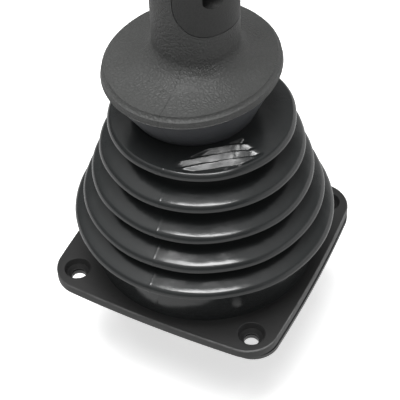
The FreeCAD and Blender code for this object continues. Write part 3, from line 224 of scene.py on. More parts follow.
def finish_material(tree, colour, roughness, height, strength, distance, specular=0.5, metallic=0.0):
    bump = add(tree, "ShaderNodeBump", {"Strength": strength, "Distance": distance, "Height": height})
    shader = add(tree, "ShaderNodeBsdfPrincipled", {
        "Base Color": colour, "Roughness": roughness, "Normal": bump.outputs["Normal"],
        "Specular IOR Level": specular, "Metallic": metallic,
    })
    add(tree, "ShaderNodeOutputMaterial", {"Surface": shader.outputs[0]})


def parting_line(tree, position):
    """1 on the thin upright line at the front of the rear half, 0 elsewhere; it sways a little."""
    along = axes(tree, position)
    sway = ramp(tree, noise_of(tree, position, 60.0, 2.0), 0.0, 1.0, -LINE_SWAY * MM, LINE_SWAY * MM)
    across = number(tree, "ADD", along["X"], sway)
    lean = number(tree, "MULTIPLY", along["Y"], -1.0 / math.tan(FLASH_ANGLE))
    away = number(tree, "ABSOLUTE", number(tree, "ADD", across, lean))
    near = ramp(tree, away, 0.4 * LINE_HALF * MM, LINE_HALF * MM, 1.0, 0.0)
    front = ramp(tree, along["Y"], LINE_Y[0] * MM, LINE_Y[1] * MM)
    return number(tree, "MULTIPLY", near, front)


def creases(tree, position):
    """1 on a few fine creases in the leather at the foot of the neck, 0 elsewhere."""
    away = vector(tree, "ADD", position, [-v * MM for v in CREASES_AT])[0]
    squeezed = vector(tree, "MULTIPLY", away, (1.0, 1.0, 2.0))[0]
    near = vector(tree, "LENGTH", squeezed)[1]
    creased = ramp(tree, near, CREASES_R[0] * MM, CREASES_R[1] * MM, 1.0, 0.0)
    swirl = number(tree, "SUBTRACT", noise_of(tree, position, 430.0, 2.0), 0.5)
    crease = ramp(tree, number(tree, "ABSOLUTE", swirl), 0.0, 0.05, 1.0, 0.0)
    return number(tree, "MULTIPLY", crease, creased)


def leather_plastic(name, tone, roughness, depth, size=1.0, rear=False):
    """Moulded soft-touch plastic with a leather grain: pebbles with painted shade in the grooves between
    them, fine creases and a faint sheen change.
    """
    material, tree = new_material(name)
    position = place_on_object(tree)
    warp = noise_of(tree, position, 260.0 / size, 2.0, 0.5, "Color")
    shifted = vector(tree, "MULTIPLY_ADD", warp, (0.0014 * size,) * 3, position)[0]
    pebbles = add(tree, "ShaderNodeTexVoronoi", {"Vector": shifted, "Scale": 900.0 / size},
                  feature="DISTANCE_TO_EDGE").outputs["Distance"]
    fine = noise_of(tree, position, 3200.0, 4.0)
    broad = noise_of(tree, position, 45.0)
    worn = ramp(tree, noise_of(tree, position, 70.0), 0.35, 0.65, 0.35, 1.0)
    grain = number(tree, "MULTIPLY", ramp(tree, pebbles, 0.0, 0.3), worn)
    height = number(tree, "ADD", grain, ramp(tree, fine, 0.2, 0.8, 0.0, 0.25))
    dark, light = grey(tone * 0.93, (1.0, 1.02, 0.99)), grey(tone * 1.07, (1.0, 1.02, 1.0))
    colour = mix_colour(tree, ramp(tree, broad, 0.3, 0.7), dark, light)
    # painted shade: the grooves between the pebbles are darkened
    colour = mix_colour(tree, ramp(tree, pebbles, 0.0, 0.12, 0.3, 0.0), colour, grey(tone * 0.45))
    if rear:
        smooth = ramp(tree, axes(tree, position)["Z"], GRAIN_Z[0] * MM, GRAIN_Z[1] * MM, 1.0, 0.0)
        colour = mix_colour(tree, smooth, colour, grey(tone * 0.8, (0.93, 0.98, 1.08)))
        height = number(tree, "MULTIPLY", height, number(tree, "SUBTRACT", 1.0, smooth))
        height = number(tree, "MULTIPLY_ADD", creases(tree, position), -2.6, height)
        mark = number(tree, "MULTIPLY", parting_line(tree, position), 0.55)
        colour = mix_colour(tree, mark, colour, grey(tone * 0.3))
    rough = ramp(tree, broad, 0.3, 0.7, roughness - 0.04, roughness + 0.05)
    finish_material(tree, colour, rough, height, depth, 0.00026 * size, specular=0.42)
    return material


def glossy_rubber(name, tone, roughness):
    """Smooth moulded rubber, slightly wavy, with dull handling marks and a painted highlight along its sharp
    rims.
    """
    material, tree = new_material(name)
    position = place_on_object(tree)
    waves = noise_of(tree, position, 95.0, 2.0, 0.5)
    grain = noise_of(tree, position, 2600.0, 3.0, 0.6)
    marks = noise_of(tree, position, 38.0, 6.0, 0.65)
    height = number(tree, "MULTIPLY_ADD", waves, 0.7, ramp(tree, grain, 0.0, 1.0, 0.0, 0.05))
    clean, handled = grey(tone, (0.93, 1.02, 1.03)), grey(tone * 1.25, (0.95, 1.0, 1.02))
    colour = mix_colour(tree, ramp(tree, marks, 0.45, 0.8), clean, handled)
    # painted highlight: the sharp rims of the lips are lightened as if they caught the light
    colour = mix_colour(tree, ramp(tree, pointiness(tree), 0.56, 0.64, 0.0, 0.75), colour, grey(0.15))
    rough = ramp(tree, marks, 0.4, 0.8, roughness, roughness + 0.08)
    finish_material(tree, colour, rough, height, 0.35, 0.0009, specular=0.55)
    return material


def painted_edge_highlight(tree, position):
    """1 where a painted highlight lies on the flange frame's upper edge, most on the side that faces forward.
    """
    facing = axes(tree, add(tree, "ShaderNodeNewGeometry").outputs["Normal"])
    away = axes(tree, vector(tree, "ABSOLUTE", position)[0])
    side = number(tree, "MAXIMUM", away["X"], away["Y"])
    corner = number(tree, "SUBTRACT", number(tree, "ADD", away["X"], away["Y"]), HIGHLIGHT_CORNER * MM)
    share = ramp(tree, number(tree, "MAXIMUM", side, corner), HIGHLIGHT_FROM * MM, HIGHLIGHT_TO * MM)
    for other in (
        ramp(tree, facing["Z"], 0.97, 0.88), ramp(tree, away["Z"], HIGHLIGHT_Z[0] * MM, HIGHLIGHT_Z[1] * MM),
        ramp(tree, noise_of(tree, position, 160.0, 4.0), 0.35, 0.6, 0.45, 1.0),
        ramp(tree, facing["X"], -0.2, 0.5, 0.25, 1.0),
    ):
        share = number(tree, "MULTIPLY", share, other)
    return share


def grained_plastic(name, tone, roughness, scale=1500.0, depth=0.35, tint=(1.0, 1.0, 1.0), frame_edge_highlight=False):
    """Fine-grained moulded plastic with a painted highlight along its convex edges."""
    material, tree = new_material(name)
    position = place_on_object(tree)
    grain = noise_of(tree, position, scale, 3.0, 0.6)
    broad = noise_of(tree, position, 30.0)
    colour = mix_colour(tree, ramp(tree, broad, 0.3, 0.7), grey(tone * 0.92, tint), grey(tone * 1.08, tint))
    # painted highlight: convex edges, found by pointiness, are lightened as if they caught the light
    edges = ramp(tree, pointiness(tree), 0.52, 0.6, 0.0, 0.35)
    colour = mix_colour(tree, edges, colour, grey(tone * 1.9, tint))
    # painted highlight: on the frame the upper edge is lightened as if it caught the light
    if frame_edge_highlight:
        colour = mix_colour(tree, painted_edge_highlight(tree, position), colour, grey(0.17, tint))
    rough = ramp(tree, grain, 0.2, 0.8, roughness - 0.05, roughness + 0.07)
    finish_material(tree, colour, rough, grain, depth, 0.00008)
    return material


def metal(name, colour, roughness, turned=False):
    """Bare metal with stains; a turned piece has fine rings from the lathe."""
    material, tree = new_material(name)
    position = place_on_object(tree)
    scale = (40.0, 40.0, 2400.0) if turned else (600.0, 600.0, 600.0)
    stretched = add(tree, "ShaderNodeMapping", {"Vector": position, "Scale": scale}).outputs[0]
    lines = noise_of(tree, stretched, 1.0, 4.0, 0.6)
    stain = ramp(tree, noise_of(tree, position, 60.0, 4.0), 0.35, 0.75)
    shade = mix_colour(tree, stain, grey(1.0, colour), grey(0.78, colour))
    rough = ramp(tree, lines, 0.3, 0.7, roughness - 0.06, roughness + 0.1)
    finish_material(tree, shade, rough, lines, 0.18, 0.00003, metallic=1.0)
    return material


def circuit_board(name):
    material, tree = new_material(name)
    tracks = add(tree, "ShaderNodeTexBrick", {
        "Vector": place_on_object(tree), "Scale": 420.0, "Mortar Size": 0.12,
        "Color1": grey(1.0, (0.010, 0.10, 0.035)), "Color2": grey(1.0, (0.012, 0.12, 0.04)),
        "Mortar": grey(1.0, (0.03, 0.2, 0.08)),
    }).outputs
    finish_material(tree, tracks["Color"], 0.35, tracks["Fac"], 0.2, 0.00003)
    return material


MATERIALS = {
    "plate_steel": grained_plastic("plate_steel", 0.035, 0.42, 2200.0, 0.15),
    "seal_rubber": grained_plastic("seal_rubber", 0.008, 0.7, 1200.0, 0.4),
    # painted highlight along the flange frame's upper edge
    "frame_plastic": grained_plastic("frame_plastic", 0.019, 0.44, 1300.0, 0.3, frame_edge_highlight=True),
    "gaiter_rubber": glossy_rubber("gaiter_rubber", 0.022, 0.15),
    "clip_steel": metal("clip_steel", (0.62, 0.62, 0.62), 0.28),
    "cast_alloy": metal("cast_alloy", (0.55, 0.56, 0.58), 0.5),
    "bush_plastic": grained_plastic("bush_plastic", 0.62, 0.4, 900.0, 0.1, (1.0, 0.96, 0.84)),
    "machined_steel": metal("machined_steel", (0.58, 0.58, 0.58), 0.3, True),
    "spring_steel": metal("spring_steel", (0.42, 0.42, 0.44), 0.35),
    "holder_plastic": grained_plastic("holder_plastic", 0.05, 0.5),
    "magnet": metal("magnet", (0.7, 0.69, 0.67), 0.15),
    "zinc_steel": metal("zinc_steel", (0.66, 0.66, 0.62), 0.32),
    "pot_plastic": grained_plastic("pot_plastic", 0.022, 0.5, 1100.0, 0.3),
    "circuit_board": circuit_board("circuit_board"),
    "chip_plastic": grained_plastic("chip_plastic", 0.015, 0.45),
    "plug_metal": metal("plug_metal", (0.68, 0.65, 0.6), 0.25, True),
    "contact_brass": metal("contact_brass", (0.85, 0.62, 0.25), 0.22),
    "grip_rear_plastic": leather_plastic("grip_rear_plastic", 0.063, 0.5, 0.55, 1.5, rear=True),
    "grip_front_plastic": leather_plastic("grip_front_plastic", 0.037, 0.55, 0.3),
    "black_steel": metal("black_steel", (0.06, 0.06, 0.062), 0.4),
    "button_plastic": grained_plastic("button_plastic", 0.018, 0.3, 1800.0, 0.12),
}
SLOTS = {part["node"]: part["material_slot"] for part in frame["record"]["subparts"]}


# Meshes and outlines

def placed(name, data):
    thing = bpy.data.objects.new(name, data)
    bpy.context.scene.collection.objects.link(thing)
    return thing


def mesh_from(name, vertices, faces):
    mesh = bpy.data.meshes.new(name)
    mesh.from_pydata([tuple(v) for v in vertices], [], faces)
    mesh.update()
    return placed(name, mesh)


def mesh_object(name, build):
    bm = bmesh.new()
    build(bm)
    mesh = bpy.data.meshes.new(name)
    bm.to_mesh(mesh)
    bm.free()
    return placed(name, mesh)


def edit_mesh(thing, change):
    bm = bmesh.new()
    bm.from_mesh(thing.data)
    change(bm)
    bm.to_mesh(thing.data)
    bm.free()


def dress(thing, body, slot_name, nodes):
    """Gives a piece its material, the body it rides on (none for a soft piece) and the nodes it stands for.
    """
    thing.data.materials.clear()
    thing.data.materials.append(MATERIALS[slot_name])
    for face in thing.data.polygons:
        face.use_smooth = True
    if body:
        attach(thing, body)
    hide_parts(*nodes)
    return thing


def arc(p, q, radius, side, count):
    """Points from p to q on a circle that bulges to the left (+1) or right (-1) of the way."""
    p, q = np.array(p, float), np.array(q, float)
    chord = q - p
    left = np.array([-chord[1], chord[0]]) / np.linalg.norm(chord)
    centre = (p + q) / 2 - left * math.sqrt(radius**2 - chord @ chord / 4) * side
    a, b = (math.atan2(*(v - centre)[::-1]) for v in (p, q))
    if side > 0:
        while b > a:
            b -= 2 * math.pi
    else:
        while b < a:
            b += 2 * math.pi
    return [tuple(centre + radius * np.array([math.cos(t), math.sin(t)])) for t in np.linspace(a, b, count)]


def line(p, q, count):
    return [tuple(np.array(p) + (np.array(q) - np.array(p)) * t) for t in np.linspace(0, 1, count)]


def without_repeats(points):
    kept = [points[0]]
    for point in points[1:]:
        if math.dist(point, kept[-1]) > 0.01:
            kept.append(point)
    return kept


def ring_faces(rows, columns):
    faces = []
    for i in range(rows - 1):
        for j in range(columns):
            k = (j + 1) % columns
            faces.append((i * columns + j, i * columns + k, (i + 1) * columns + k, (i + 1) * columns + j))
    return faces


def stacked(name, rings):
    """A closed solid through rings of points, one above the other, with flat ends."""
    columns = len(rings[0])
    last = (len(rings) - 1) * columns
    faces = ring_faces(len(rings), columns)
    faces.append(tuple(range(columns))[::-1])
    faces.append(tuple(last + k for k in range(columns)))
    return mesh_from(name, [Vector(point) * MM for ring in rings for point in ring], faces)


def prism(name, near, far):
    """A closed solid between two like outlines."""
    def build(bm):
        first, second = ([bm.verts.new(Vector(point) * MM) for point in outline] for outline in (near, far))
        count = len(first)
        bm.faces.new(first[::-1])
        bm.faces.new(second)
        for k in range(count):
            bm.faces.new((first[k], first[(k + 1) % count], second[(k + 1) % count], second[k]))
        bmesh.ops.recalc_face_normals(bm, faces=bm.faces)

    return mesh_object(name, build)


def block(name, low, high):
    size = Vector(high) - Vector(low)
    centre = (Vector(high) + Vector(low)) / 2
    return mesh_object(name, lambda bm: bmesh.ops.create_cube(
        bm, size=1.0, matrix=Matrix.Translation(centre * MM) @ Matrix.Diagonal((*(size * MM), 1.0))
    ))


def rod(name, radius, start, end, segments=96, radius_end=None):
    """A round rod, or a cone where the end has a radius of its own."""
    a, b = Vector(start) * MM, Vector(end) * MM
    way = b - a
    turn = way.to_track_quat("Z", "Y").to_matrix().to_4x4()
    return mesh_object(name, lambda bm: bmesh.ops.create_cone(
        bm, cap_ends=True, segments=segments, radius1=radius * MM,
        radius2=(radius if radius_end is None else radius_end) * MM, depth=way.length,
        matrix=Matrix.Translation((a + b) / 2) @ turn,
    ))


def apply_all(thing):
    bpy.context.view_layer.update()
    graph = bpy.context.evaluated_depsgraph_get()
    mesh = bpy.data.meshes.new_from_object(thing.evaluated_get(graph))
    thing.modifiers.clear()
    thing.data = mesh


def boolean(thing, other, operation="DIFFERENCE", keep=False):
    """Cuts the other piece from the thing, or joins them; the other piece is then deleted unless kept."""
    modifier = thing.modifiers.new("join", "BOOLEAN")
    modifier.operation = operation
    modifier.solver = "EXACT"
    modifier.object = other
    apply_all(thing)
    if not keep:
        bpy.data.objects.remove(other)


def soft_edges(thing, width):
    """Rounds every clear edge and keeps flat faces flat in the shading."""
    bevel = thing.modifiers.new("edges", "BEVEL")
    bevel.width = width * MM
    bevel.segments = 2
    bevel.limit_method = "ANGLE"
    bevel.angle_limit = math.radians(32.0)
    bevel.harden_normals = True
    bevel.use_clamp_overlap = True
    apply_all(thing)


def smooth_by_angle(thing, degrees):
    limit = math.radians(degrees)

    def mark(bm):
        for face in bm.faces:
            face.smooth = True
        for edge in bm.edges:
            edge.smooth = len(edge.link_faces) == 2 and edge.calc_face_angle(0.0) < limit

    edit_mesh(thing, mark)


# Gaiter

def lip(i):
    return LIP_R[i], FLANGE_TOP + LIP_H[i]


def shoulder_of(i):
    rim_r, rim_z = lip(i)
    return rim_r - SHOULDER_IN, rim_z + SHOULDER_UP


def pleat_outline(i):
    """From the shoulder over the sharp rim to the next pleat's shoulder, or to the cuff."""
    rim_r, rim_z = lip(i)
    points = arc(shoulder_of(i), (rim_r, rim_z + BEAD), SHOULDER_ROUND, 1, 9)
    points += arc((rim_r, rim_z + BEAD), (rim_r - BEAD, rim_z), BEAD, 1, 4)
    if i == LAST:
        under = (CUFF_R + VALLEY_ROUND, rim_z + CUFF_RISE)
        points += line((rim_r - BEAD, rim_z), under, 5)
        points += arc(under, (CUFF_R, rim_z - CUFF_DROP), CUFF_ROLL, -1, 6)
        return points
    valley = rim_r - VALLEY_DEPTH
    shoulder = shoulder_of(i + 1)
    run = shoulder[0] - valley - VALLEY_ROUND
    low = (valley + VALLEY_ROUND, shoulder[1] + FLANK_SLOPE * run)
    high = (valley + VALLEY_ROUND, rim_z + 0.5 * VALLEY_ROUND)
    points += line((rim_r - BEAD, rim_z), high, 6)
    points += arc(high, low, VALLEY_ROLL, -1, 9)
    points += line(low, shoulder, 7)
    return points


def gaiter_outline():
    """(radius, height) from the collar's upper edge down to the foot in the frame's rebate."""
    bend, flank = (COLLAR_OUT, COLLAR_FOOT_Z + BEND_UP), (COLLAR_OUT + BEND_OUT, COLLAR_FOOT_Z - BEND_DOWN)
    points = [(COLLAR_IN, COLLAR_TOP_Z), (COLLAR_OUT - COLLAR_EDGE, COLLAR_TOP_Z)]
    points += [(COLLAR_OUT, COLLAR_TOP_Z - COLLAR_EDGE), bend]
    points += arc(bend, flank, BEND_ROLL, -1, 5)
    points += line(flank, shoulder_of(0), 60)
    for i in range(LAST + 1):
        points += pleat_outline(i)
    points += line((CUFF_R, lip(LAST)[1] - CUFF_DROP), (CUFF_R, FOOT_Z + FOOT_T), 8)
    points += [(FOOT_R - FOOT_EDGE, FOOT_Z + FOOT_T), (FOOT_R, FOOT_Z + FOOT_T - FOOT_EDGE), (FOOT_R, FOOT_Z)]
    return without_repeats(points)


def wander(angle, z, size, reach, seed):
    """A slow, even waviness: no two places round the gaiter are quite alike."""
    at = Vector((math.cos(angle) * reach, math.sin(angle) * reach, z / 9.0 + seed))
    return noise.noise(at) * size


def turn_from(angle, start):
    return (angle - start + math.pi) % (2 * math.pi) - math.pi


def within(value):
    return min(1.0, max(0.0, value))


def eased(value):
    value = within(value)
    return value * value * (3 - 2 * value)


def folds(angle, r):
    """Rubber under the palm rest lies in shallow tilted folds, each of which rises slowly and drops steeply.

    They run across the direction FOLD_ANGLE, fade out to both sides of it, and begin later on its right.
    """
    turn = turn_from(angle, FOLD_ANGLE)
    drift = 0.5 * noise.noise(Vector((angle * 5.0, r * 0.15, 4.0)))
    drift += 0.12 * noise.noise(Vector((angle * 22.0, r * 0.5, 9.0)))
    place = (r * math.cos(turn) - FOLD_FROM + drift) / FOLD_STEP
    part = place - math.floor(place)
    tooth = part / FOLD_RISE if part < FOLD_RISE else (1 - part) / (1 - FOLD_RISE)
    start = FOLD_FROM + FOLD_LATER * eased((-turn - 0.05) / 0.5)
    share = eased((FOLD_SPREAD - abs(turn)) / 0.14)
    return FOLD_DEPTH * tooth * share * eased((r - start) / 1.2) * eased((FOLD_TO - r) / 1.6)


def gaiter_point(angle, r, z):
    """A point of the outer side; its waves fade out towards the collar and the frame, which hold it."""
    depth = within((r - COLLAR_OUT) / WAVE_GROWTH)
    held = within((z - HELD_Z) / HELD_RISE)
    r += wander(angle, z, WAVE_OUT, 2.6, 3.0) * depth * held - WAVE_IN * depth * held
    z += wander(angle, z, WAVE_UP, 2.2, 11.0) * depth * held
    if z > lip(0)[1] + FOLD_ABOVE and r > COLLAR_OUT + 1:
        z -= folds(angle, r)
    across = turn_from(angle, FLASH_ANGLE) * r
    if r > COLLAR_OUT + 3 and abs(across) < FLASH_REACH:
        r += FLASH_OUT * math.exp(-((across / FLASH_HALF) ** 2)) * held
    return Vector((r * math.cos(angle), r * math.sin(angle), z)) * MM


def ring_angles():
    """Even steps round the gaiter, closer together by the mould's parting line."""
    even = list(np.linspace(0, 2 * math.pi, 289)[:-1])
    near = [FLASH_ANGLE % (2 * math.pi) + d for d in np.radians(np.linspace(-1.6, 1.6, 17))]
    gap = math.radians(0.3)
    return sorted([a for a in even if all(abs(turn_from(a, n)) > gap for n in near)] + near)


def lining(profile):
    """The inner side of the rubber: the outline moved inwards, with every sixth point kept."""
    inner = []
    for k, (r, z) in enumerate(profile):
        before, after = profile[max(k - 1, 0)], profile[min(k + 1, len(profile) - 1)]
        way = np.array(after) - np.array(before)
        normal = np.array([way[1], -way[0]]) / max(np.linalg.norm(way), 1e-6)
        inner.append((max(r + normal[0] * RUBBER_T, LINING_R), max(z + normal[1] * RUBBER_T, FOOT_Z)))
    return inner[::6]


def make_gaiter():
    """The gaiter in two halves that meet in its second valley."""
    outer = gaiter_outline()
    split = next(k for k, (r, z) in enumerate(outer) if z < lip(1)[1] and r < LIP_R[1] - 8.0)
    angles = ring_angles()
    count = len(angles)
    foot, knee, top = GAITER_BENDS
    for name, profile, low_body, high_body, start, end in (
        ("gaiter_upper", outer[:split + 1], "tilt_ring", "lever", knee, top),
        ("gaiter_lower", outer[split:], "base", "tilt_ring", foot, knee),
    ):
        inner = lining(profile)
        vertices = [gaiter_point(a, r, z) for r, z in profile for a in angles]
        faces = [face[::-1] for face in ring_faces(len(profile), count)]
        base = len(vertices)
        vertices += [Vector((r * math.cos(a), r * math.sin(a), z)) * MM for r, z in inner for a in angles]
        faces += [tuple(base + k for k in face) for face in ring_faces(len(inner), count)]
        piece = dress(mesh_from(name, vertices, faces), None, "gaiter_rubber", ("gaiter",))
        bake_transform(piece)


make_gaiter()


# Palm rest and grip

def between(a, b, share):
    return a + (b - a) * share


def rim_profile():
    """(inward, up) round the rim: a low fin at the parting line, a flat band and a rounded upper edge."""
    points = line((UNDER_IN, -UNDER_DOWN), BAND_LOW, 5)
    points += arc(BAND_LOW, FIN_FOOT, FIN_ROUND, -1, 3)
    points += FIN
    points += line(BAND_MIDDLE, BAND_HIGH, 6)
    points += arc(BAND_HIGH, RIM_TOP, RIM_ROUND, -1, 10)
    return points


def palm_rows():
    """Ovals (shift, half x, half y, height) from the skirt's lower edge round the rolled rim to the neck."""
    low_x, low_y, low_h = RIM_X - UNDER_IN, RIM_Y - UNDER_IN, RIM_H - UNDER_DOWN
    rows = []
    for share in np.linspace(0, 1, 9)[:-1]:
        rows.append((
            between(SKIRT_SHIFT, RIM_SHIFT, share), between(SKIRT_X, low_x, share),
            between(SKIRT_Y, low_y, share), between(SKIRT_H, low_h, share),
        ))
    for inward, rise in rim_profile():
        rows.append((RIM_SHIFT, RIM_X - inward, RIM_Y - inward, RIM_H + rise))
    top_x, top_y, top_h = RIM_X - CROWN_IN, RIM_Y - CROWN_IN, RIM_H + CROWN_UP
    for angle in np.radians(np.linspace(4, 90, 30)):
        share = math.sin(angle)
        rows.append((
            between(RIM_SHIFT, NECK_SHIFT, share), between(top_x, NECK_R, share),
            between(top_y, NECK_R, share), top_h + (NECK_H - top_h) * (1 - math.cos(angle)),
        ))
    return rows


def handle_rows(wall=0.0, step=2.5):
    """Ovals of the handle, thinner by the wall; a smooth curve runs through the key heights."""
    heights = [key[0] for key in GRIP_KEYS]
    ovals = [np.array(key[1:]) for key in GRIP_KEYS]
    slopes = [np.zeros(3)]
    for k in range(1, len(GRIP_KEYS) - 1):
        slopes.append((ovals[k + 1] - ovals[k - 1]) / (heights[k + 1] - heights[k - 1]))
    slopes.append((ovals[-1] - ovals[-2]) / (heights[-1] - heights[-2]))
    rows = []
    for k in range(len(GRIP_KEYS) - 1):
        span = heights[k + 1] - heights[k]
        for t in np.arange(0, 1, step / span):
            shift, half_x, half_y = (
                (2 * t**3 - 3 * t**2 + 1) * ovals[k] + (t**3 - 2 * t**2 + t) * span * slopes[k]
                + (3 * t**2 - 2 * t**3) * ovals[k + 1] + (t**3 - t**2) * span * slopes[k + 1]
            )
            rows.append((shift, half_x - wall, half_y - wall, heights[k] + t * span))
    shift, half_x, half_y = ovals[-1]
    rows.append((shift, half_x - wall, half_y - wall, heights[-1]))
    return rows


def oval_solid(name, rows, columns):
    """A closed solid through ovals (shift, half x, half y, height)."""
    turns = [2 * math.pi * k / columns for k in range(columns)]
    return stacked(name, [
        [(shift + half_x * math.cos(a), half_y * math.sin(a), FLANGE_TOP + height) for a in turns]
        for shift, half_x, half_y, height in rows
    ])


def above_face():
    """All the space above the slanted face."""
    slab = block("above_face", (-90, -90, 0), (90, 90, 90))
    turn = Matrix.Rotation(-FACE_TILT, 4, "Y")
    slab.data.transform(Matrix.Translation(Vector((FACE_X, 0, FLANGE_TOP + FACE_H)) * MM) @ turn)
    return slab


def cover_space(name, inset):
    """Space of the front cover: upright at the back, flat below, with a rounded heel between."""
    near, low = SPLIT_X + inset, FLANGE_TOP + COVER_H + inset
    points = arc((near, low + COVER_ROUND), (near + COVER_ROUND, low), COVER_ROUND, -1, 40)
    points += [(near + 80.0, low), (near + 80.0, low + 150.0), (near, low + 150.0)]
    return prism(name, [(x, 60.0, z) for x, z in points], [(x, -60.0, z) for x, z in points])


def recess(name, y, low, high, radius, start, end):
    """A pocket for a grip screw, from start to end along x, stretched from the low height to the high one."""
    centre, half = FLANGE_TOP + (low + high) / 2, (high - low) / 2
    points = []
    for k in range(48):
        turn = 2 * math.pi * (k + 0.5) / 48
        up = math.sin(turn)
        points.append((y + radius * math.cos(turn), centre + radius * up + math.copysign(half, up)))
    return prism(name, [(start, v, z) for v, z in points], [(end, v, z) for v, z in points])


def hollow_grip():
    """Both halves in one, with the cavity, the skirt's hollow, the spigot in it and the shaft's bore."""
    grip = oval_solid("grip_rear", palm_rows() + handle_rows(), 168)
    neck = [(NECK_SHIFT, NECK_R - WALL, NECK_R - WALL, height) for height in CAVITY_H]
    cavity = oval_solid("grip_cavity", neck + handle_rows(WALL, 8.0), 96)
    boolean(grip, above_face())
    boolean(grip, cavity)
    skirt_z = FLANGE_TOP + SKIRT_H
    hollow = rod("skirt_hollow", HOLLOW_R, (0, 0, skirt_z - 5), (0, 0, skirt_z + HOLLOW_UP))
    boolean(hollow, rod("spigot_keep", SPIGOT_R + SEAT_GAP, (0, 0, skirt_z - 9), (0, 0, skirt_z + 14)))
    boolean(grip, hollow)
    spigot = rod("spigot", SPIGOT_R, (0, 0, FLANGE_TOP + SPIGOT_H), (0, 0, skirt_z + 4))
    boolean(grip, spigot, "UNION")
    boolean(grip, rod("shaft_bore", SHAFT_R, (0, 0, 80), (0, 0, 130)))
    return grip


def make_grip():
    """The rear half, and the front cover with a hollow post for each of its four screws."""
    rear = hollow_grip()
    front = placed("grip_front", rear.data.copy())
    boolean(rear, cover_space("cover_space", 0.0))
    boolean(front, cover_space("cover_form", SEAM_GAP), "INTERSECT")
    inside = NECK_R - POST_SINK
    filled = oval_solid("filled", [(NECK_SHIFT, inside, inside, POSTS_H)] + handle_rows(POST_SINK, 8.0), 96)
    for y in (RECESS_Y, -RECESS_Y):
        for low, high in RECESS_H:
            boss = recess("screw_boss", y, low, high, BOSS_R, BOSS_X, 40.0)
            boolean(boss, filled, "INTERSECT", keep=True)
            boolean(front, boss, "UNION")
            boolean(front, recess("sink", y, low, high, SINK_R, SINK_X, 44.0))
            at = FLANGE_TOP + high
            boolean(front, rod("sink_bore", SCREW_R, (-5, y, at), (40, y, at), 32))
    bpy.data.objects.remove(filled)
    slot_low, slot_high = (FLANGE_TOP + height for height in SLOT_H)
    boolean(front, block("trigger_slot", (SLOT_X, -SLOT_HALF, slot_low), (60, SLOT_HALF, slot_high)))
    dress(rear, "lever", "grip_rear_plastic", ("grip_rear_shell",))
    dress(front, "lever", "grip_front_plastic", ("grip_front_shell",))
    for piece in (rear, front):
        smooth_by_angle(piece, 35)


make_grip()


# Flange frame

def bowed_square(half, corner, bow):
    """A square with slightly bowed sides and round corners, from the left end of the lower side."""
    points = []
    flat = half - corner
    radius = (flat**2 + bow**2) / (2 * bow)
    side = arc((-flat, -half), (flat, -half), radius, -1, 24)
    bend = arc((flat, -half), (half, -flat), corner, -1, 14)
    for k in range(4):
        c, s = math.cos(math.radians(90 * k)), math.sin(math.radians(90 * k))
        points += [(x * c - y * s, x * s + y * c) for x, y in side[:-1] + bend[:-1]]
    return points


def moved_inwards(points, depth):
    """A closed outline that runs anticlockwise, made smaller by the depth on every side."""
    moved = []
    for k, point in enumerate(points):
        way = np.array(points[(k + 1) % len(points)]) - np.array(points[k - 1])
        normal = np.array([way[1], -way[0]]) / np.linalg.norm(way)
        moved.append(tuple(np.array(point) - normal * depth))
    return moved


def make_frame():
    """The flange frame with a small bevel below and a rounded upper edge."""
    outline = bowed_square(FRAME_HALF, FRAME_CORNER, FRAME_BOW)
    levels = [(FRAME_EDGE, FRAME_Z), (0.0, FRAME_Z + FRAME_EDGE)]
    for a in np.radians(np.linspace(0, 90, 7)):
        levels.append((
            FRAME_ROUND * (1 - math.cos(a)), FLANGE_TOP - FRAME_ROUND + FRAME_ROUND * math.sin(a),
        ))
    thing = stacked("flange_frame", [
        [(x, y, z) for x, y in moved_inwards(outline, depth)] for depth, z in levels
    ])
    boolean(thing, rod("frame_opening", OPENING_R, (0, 0, 0), (0, 0, 12), 256))
    boolean(thing, rod("frame_rebate", REBATE_R, (0, 0, 0), (0, 0, REBATE_Z), 256))
    for x in (BOLT_AT, -BOLT_AT):
        for y in (BOLT_AT, -BOLT_AT):
            for low, high, narrow, wide in BOLT_STAGES:
                boolean(thing, rod("bolt_sink", narrow, (x, y, low), (x, y, high), 96, wide))
    dress(thing, "base", "frame_plastic", ("gaiter_frame",))
    smooth_by_angle(thing, 28)


make_frame()


# Pieces carried over from the frame

def copy_of(node, ending, change):
    """A copy of the frame's piece with its mesh changed; the piece itself stays as it is."""
    source = frame["nodes"][node]
    thing = placed(node + ending, source.data.copy())
    thing.data.transform(source.matrix_world)
    edit_mesh(thing, change)
    return thing


def join_doubles(bm):
    bmesh.ops.remove_doubles(bm, verts=bm.verts, dist=2e-6)


def join_flats(bm):
    join_doubles(bm)
    bmesh.ops.dissolve_limit(bm, angle_limit=math.radians(2.0), verts=bm.verts, edges=bm.edges)


def make_soft_edged(node, body, width):
    """A piece that shows from outside, with its edges rounded."""
    thing = copy_of(node, "_shown", join_flats)
    soft_edges(thing, width)
    dress(thing, body, SLOTS[node], (node,))
    weighted = thing.modifiers.new("face_normals", "WEIGHTED_NORMAL")
    weighted.weight = 100
    apply_all(thing)


def make_spring(node, low_body, high_body, start, end):
    """A centring spring, copied as it is and riding on no body."""
    thing = copy_of(node, "_wound", join_doubles)
    dress(thing, None, SLOTS[node], (node,))
    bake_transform(thing)


for node, body, width in (
    ("switch_plate", "lever", 0.35), ("button_left", "left_button", 0.25),
    ("button_right", "right_button", 0.25), ("trigger", "finger_trigger", 0.8),
    ("pot_cover", "base", 0.5), ("connector_body", "base", 0.25),
):
    make_soft_edged(node, body, width)
make_spring("side_spring", "tilt_ring", "base", *SIDE_SPRING_TWIST)
make_spring("fore_spring", "lever", "tilt_ring", *FORE_SPRING_TWIST)
for node, thing in frame["nodes"].items():
    if not thing.hide_render:
        thing.data.materials.clear()
        thing.data.materials.append(MATERIALS[SLOTS[node]])


# Camera, floor and light

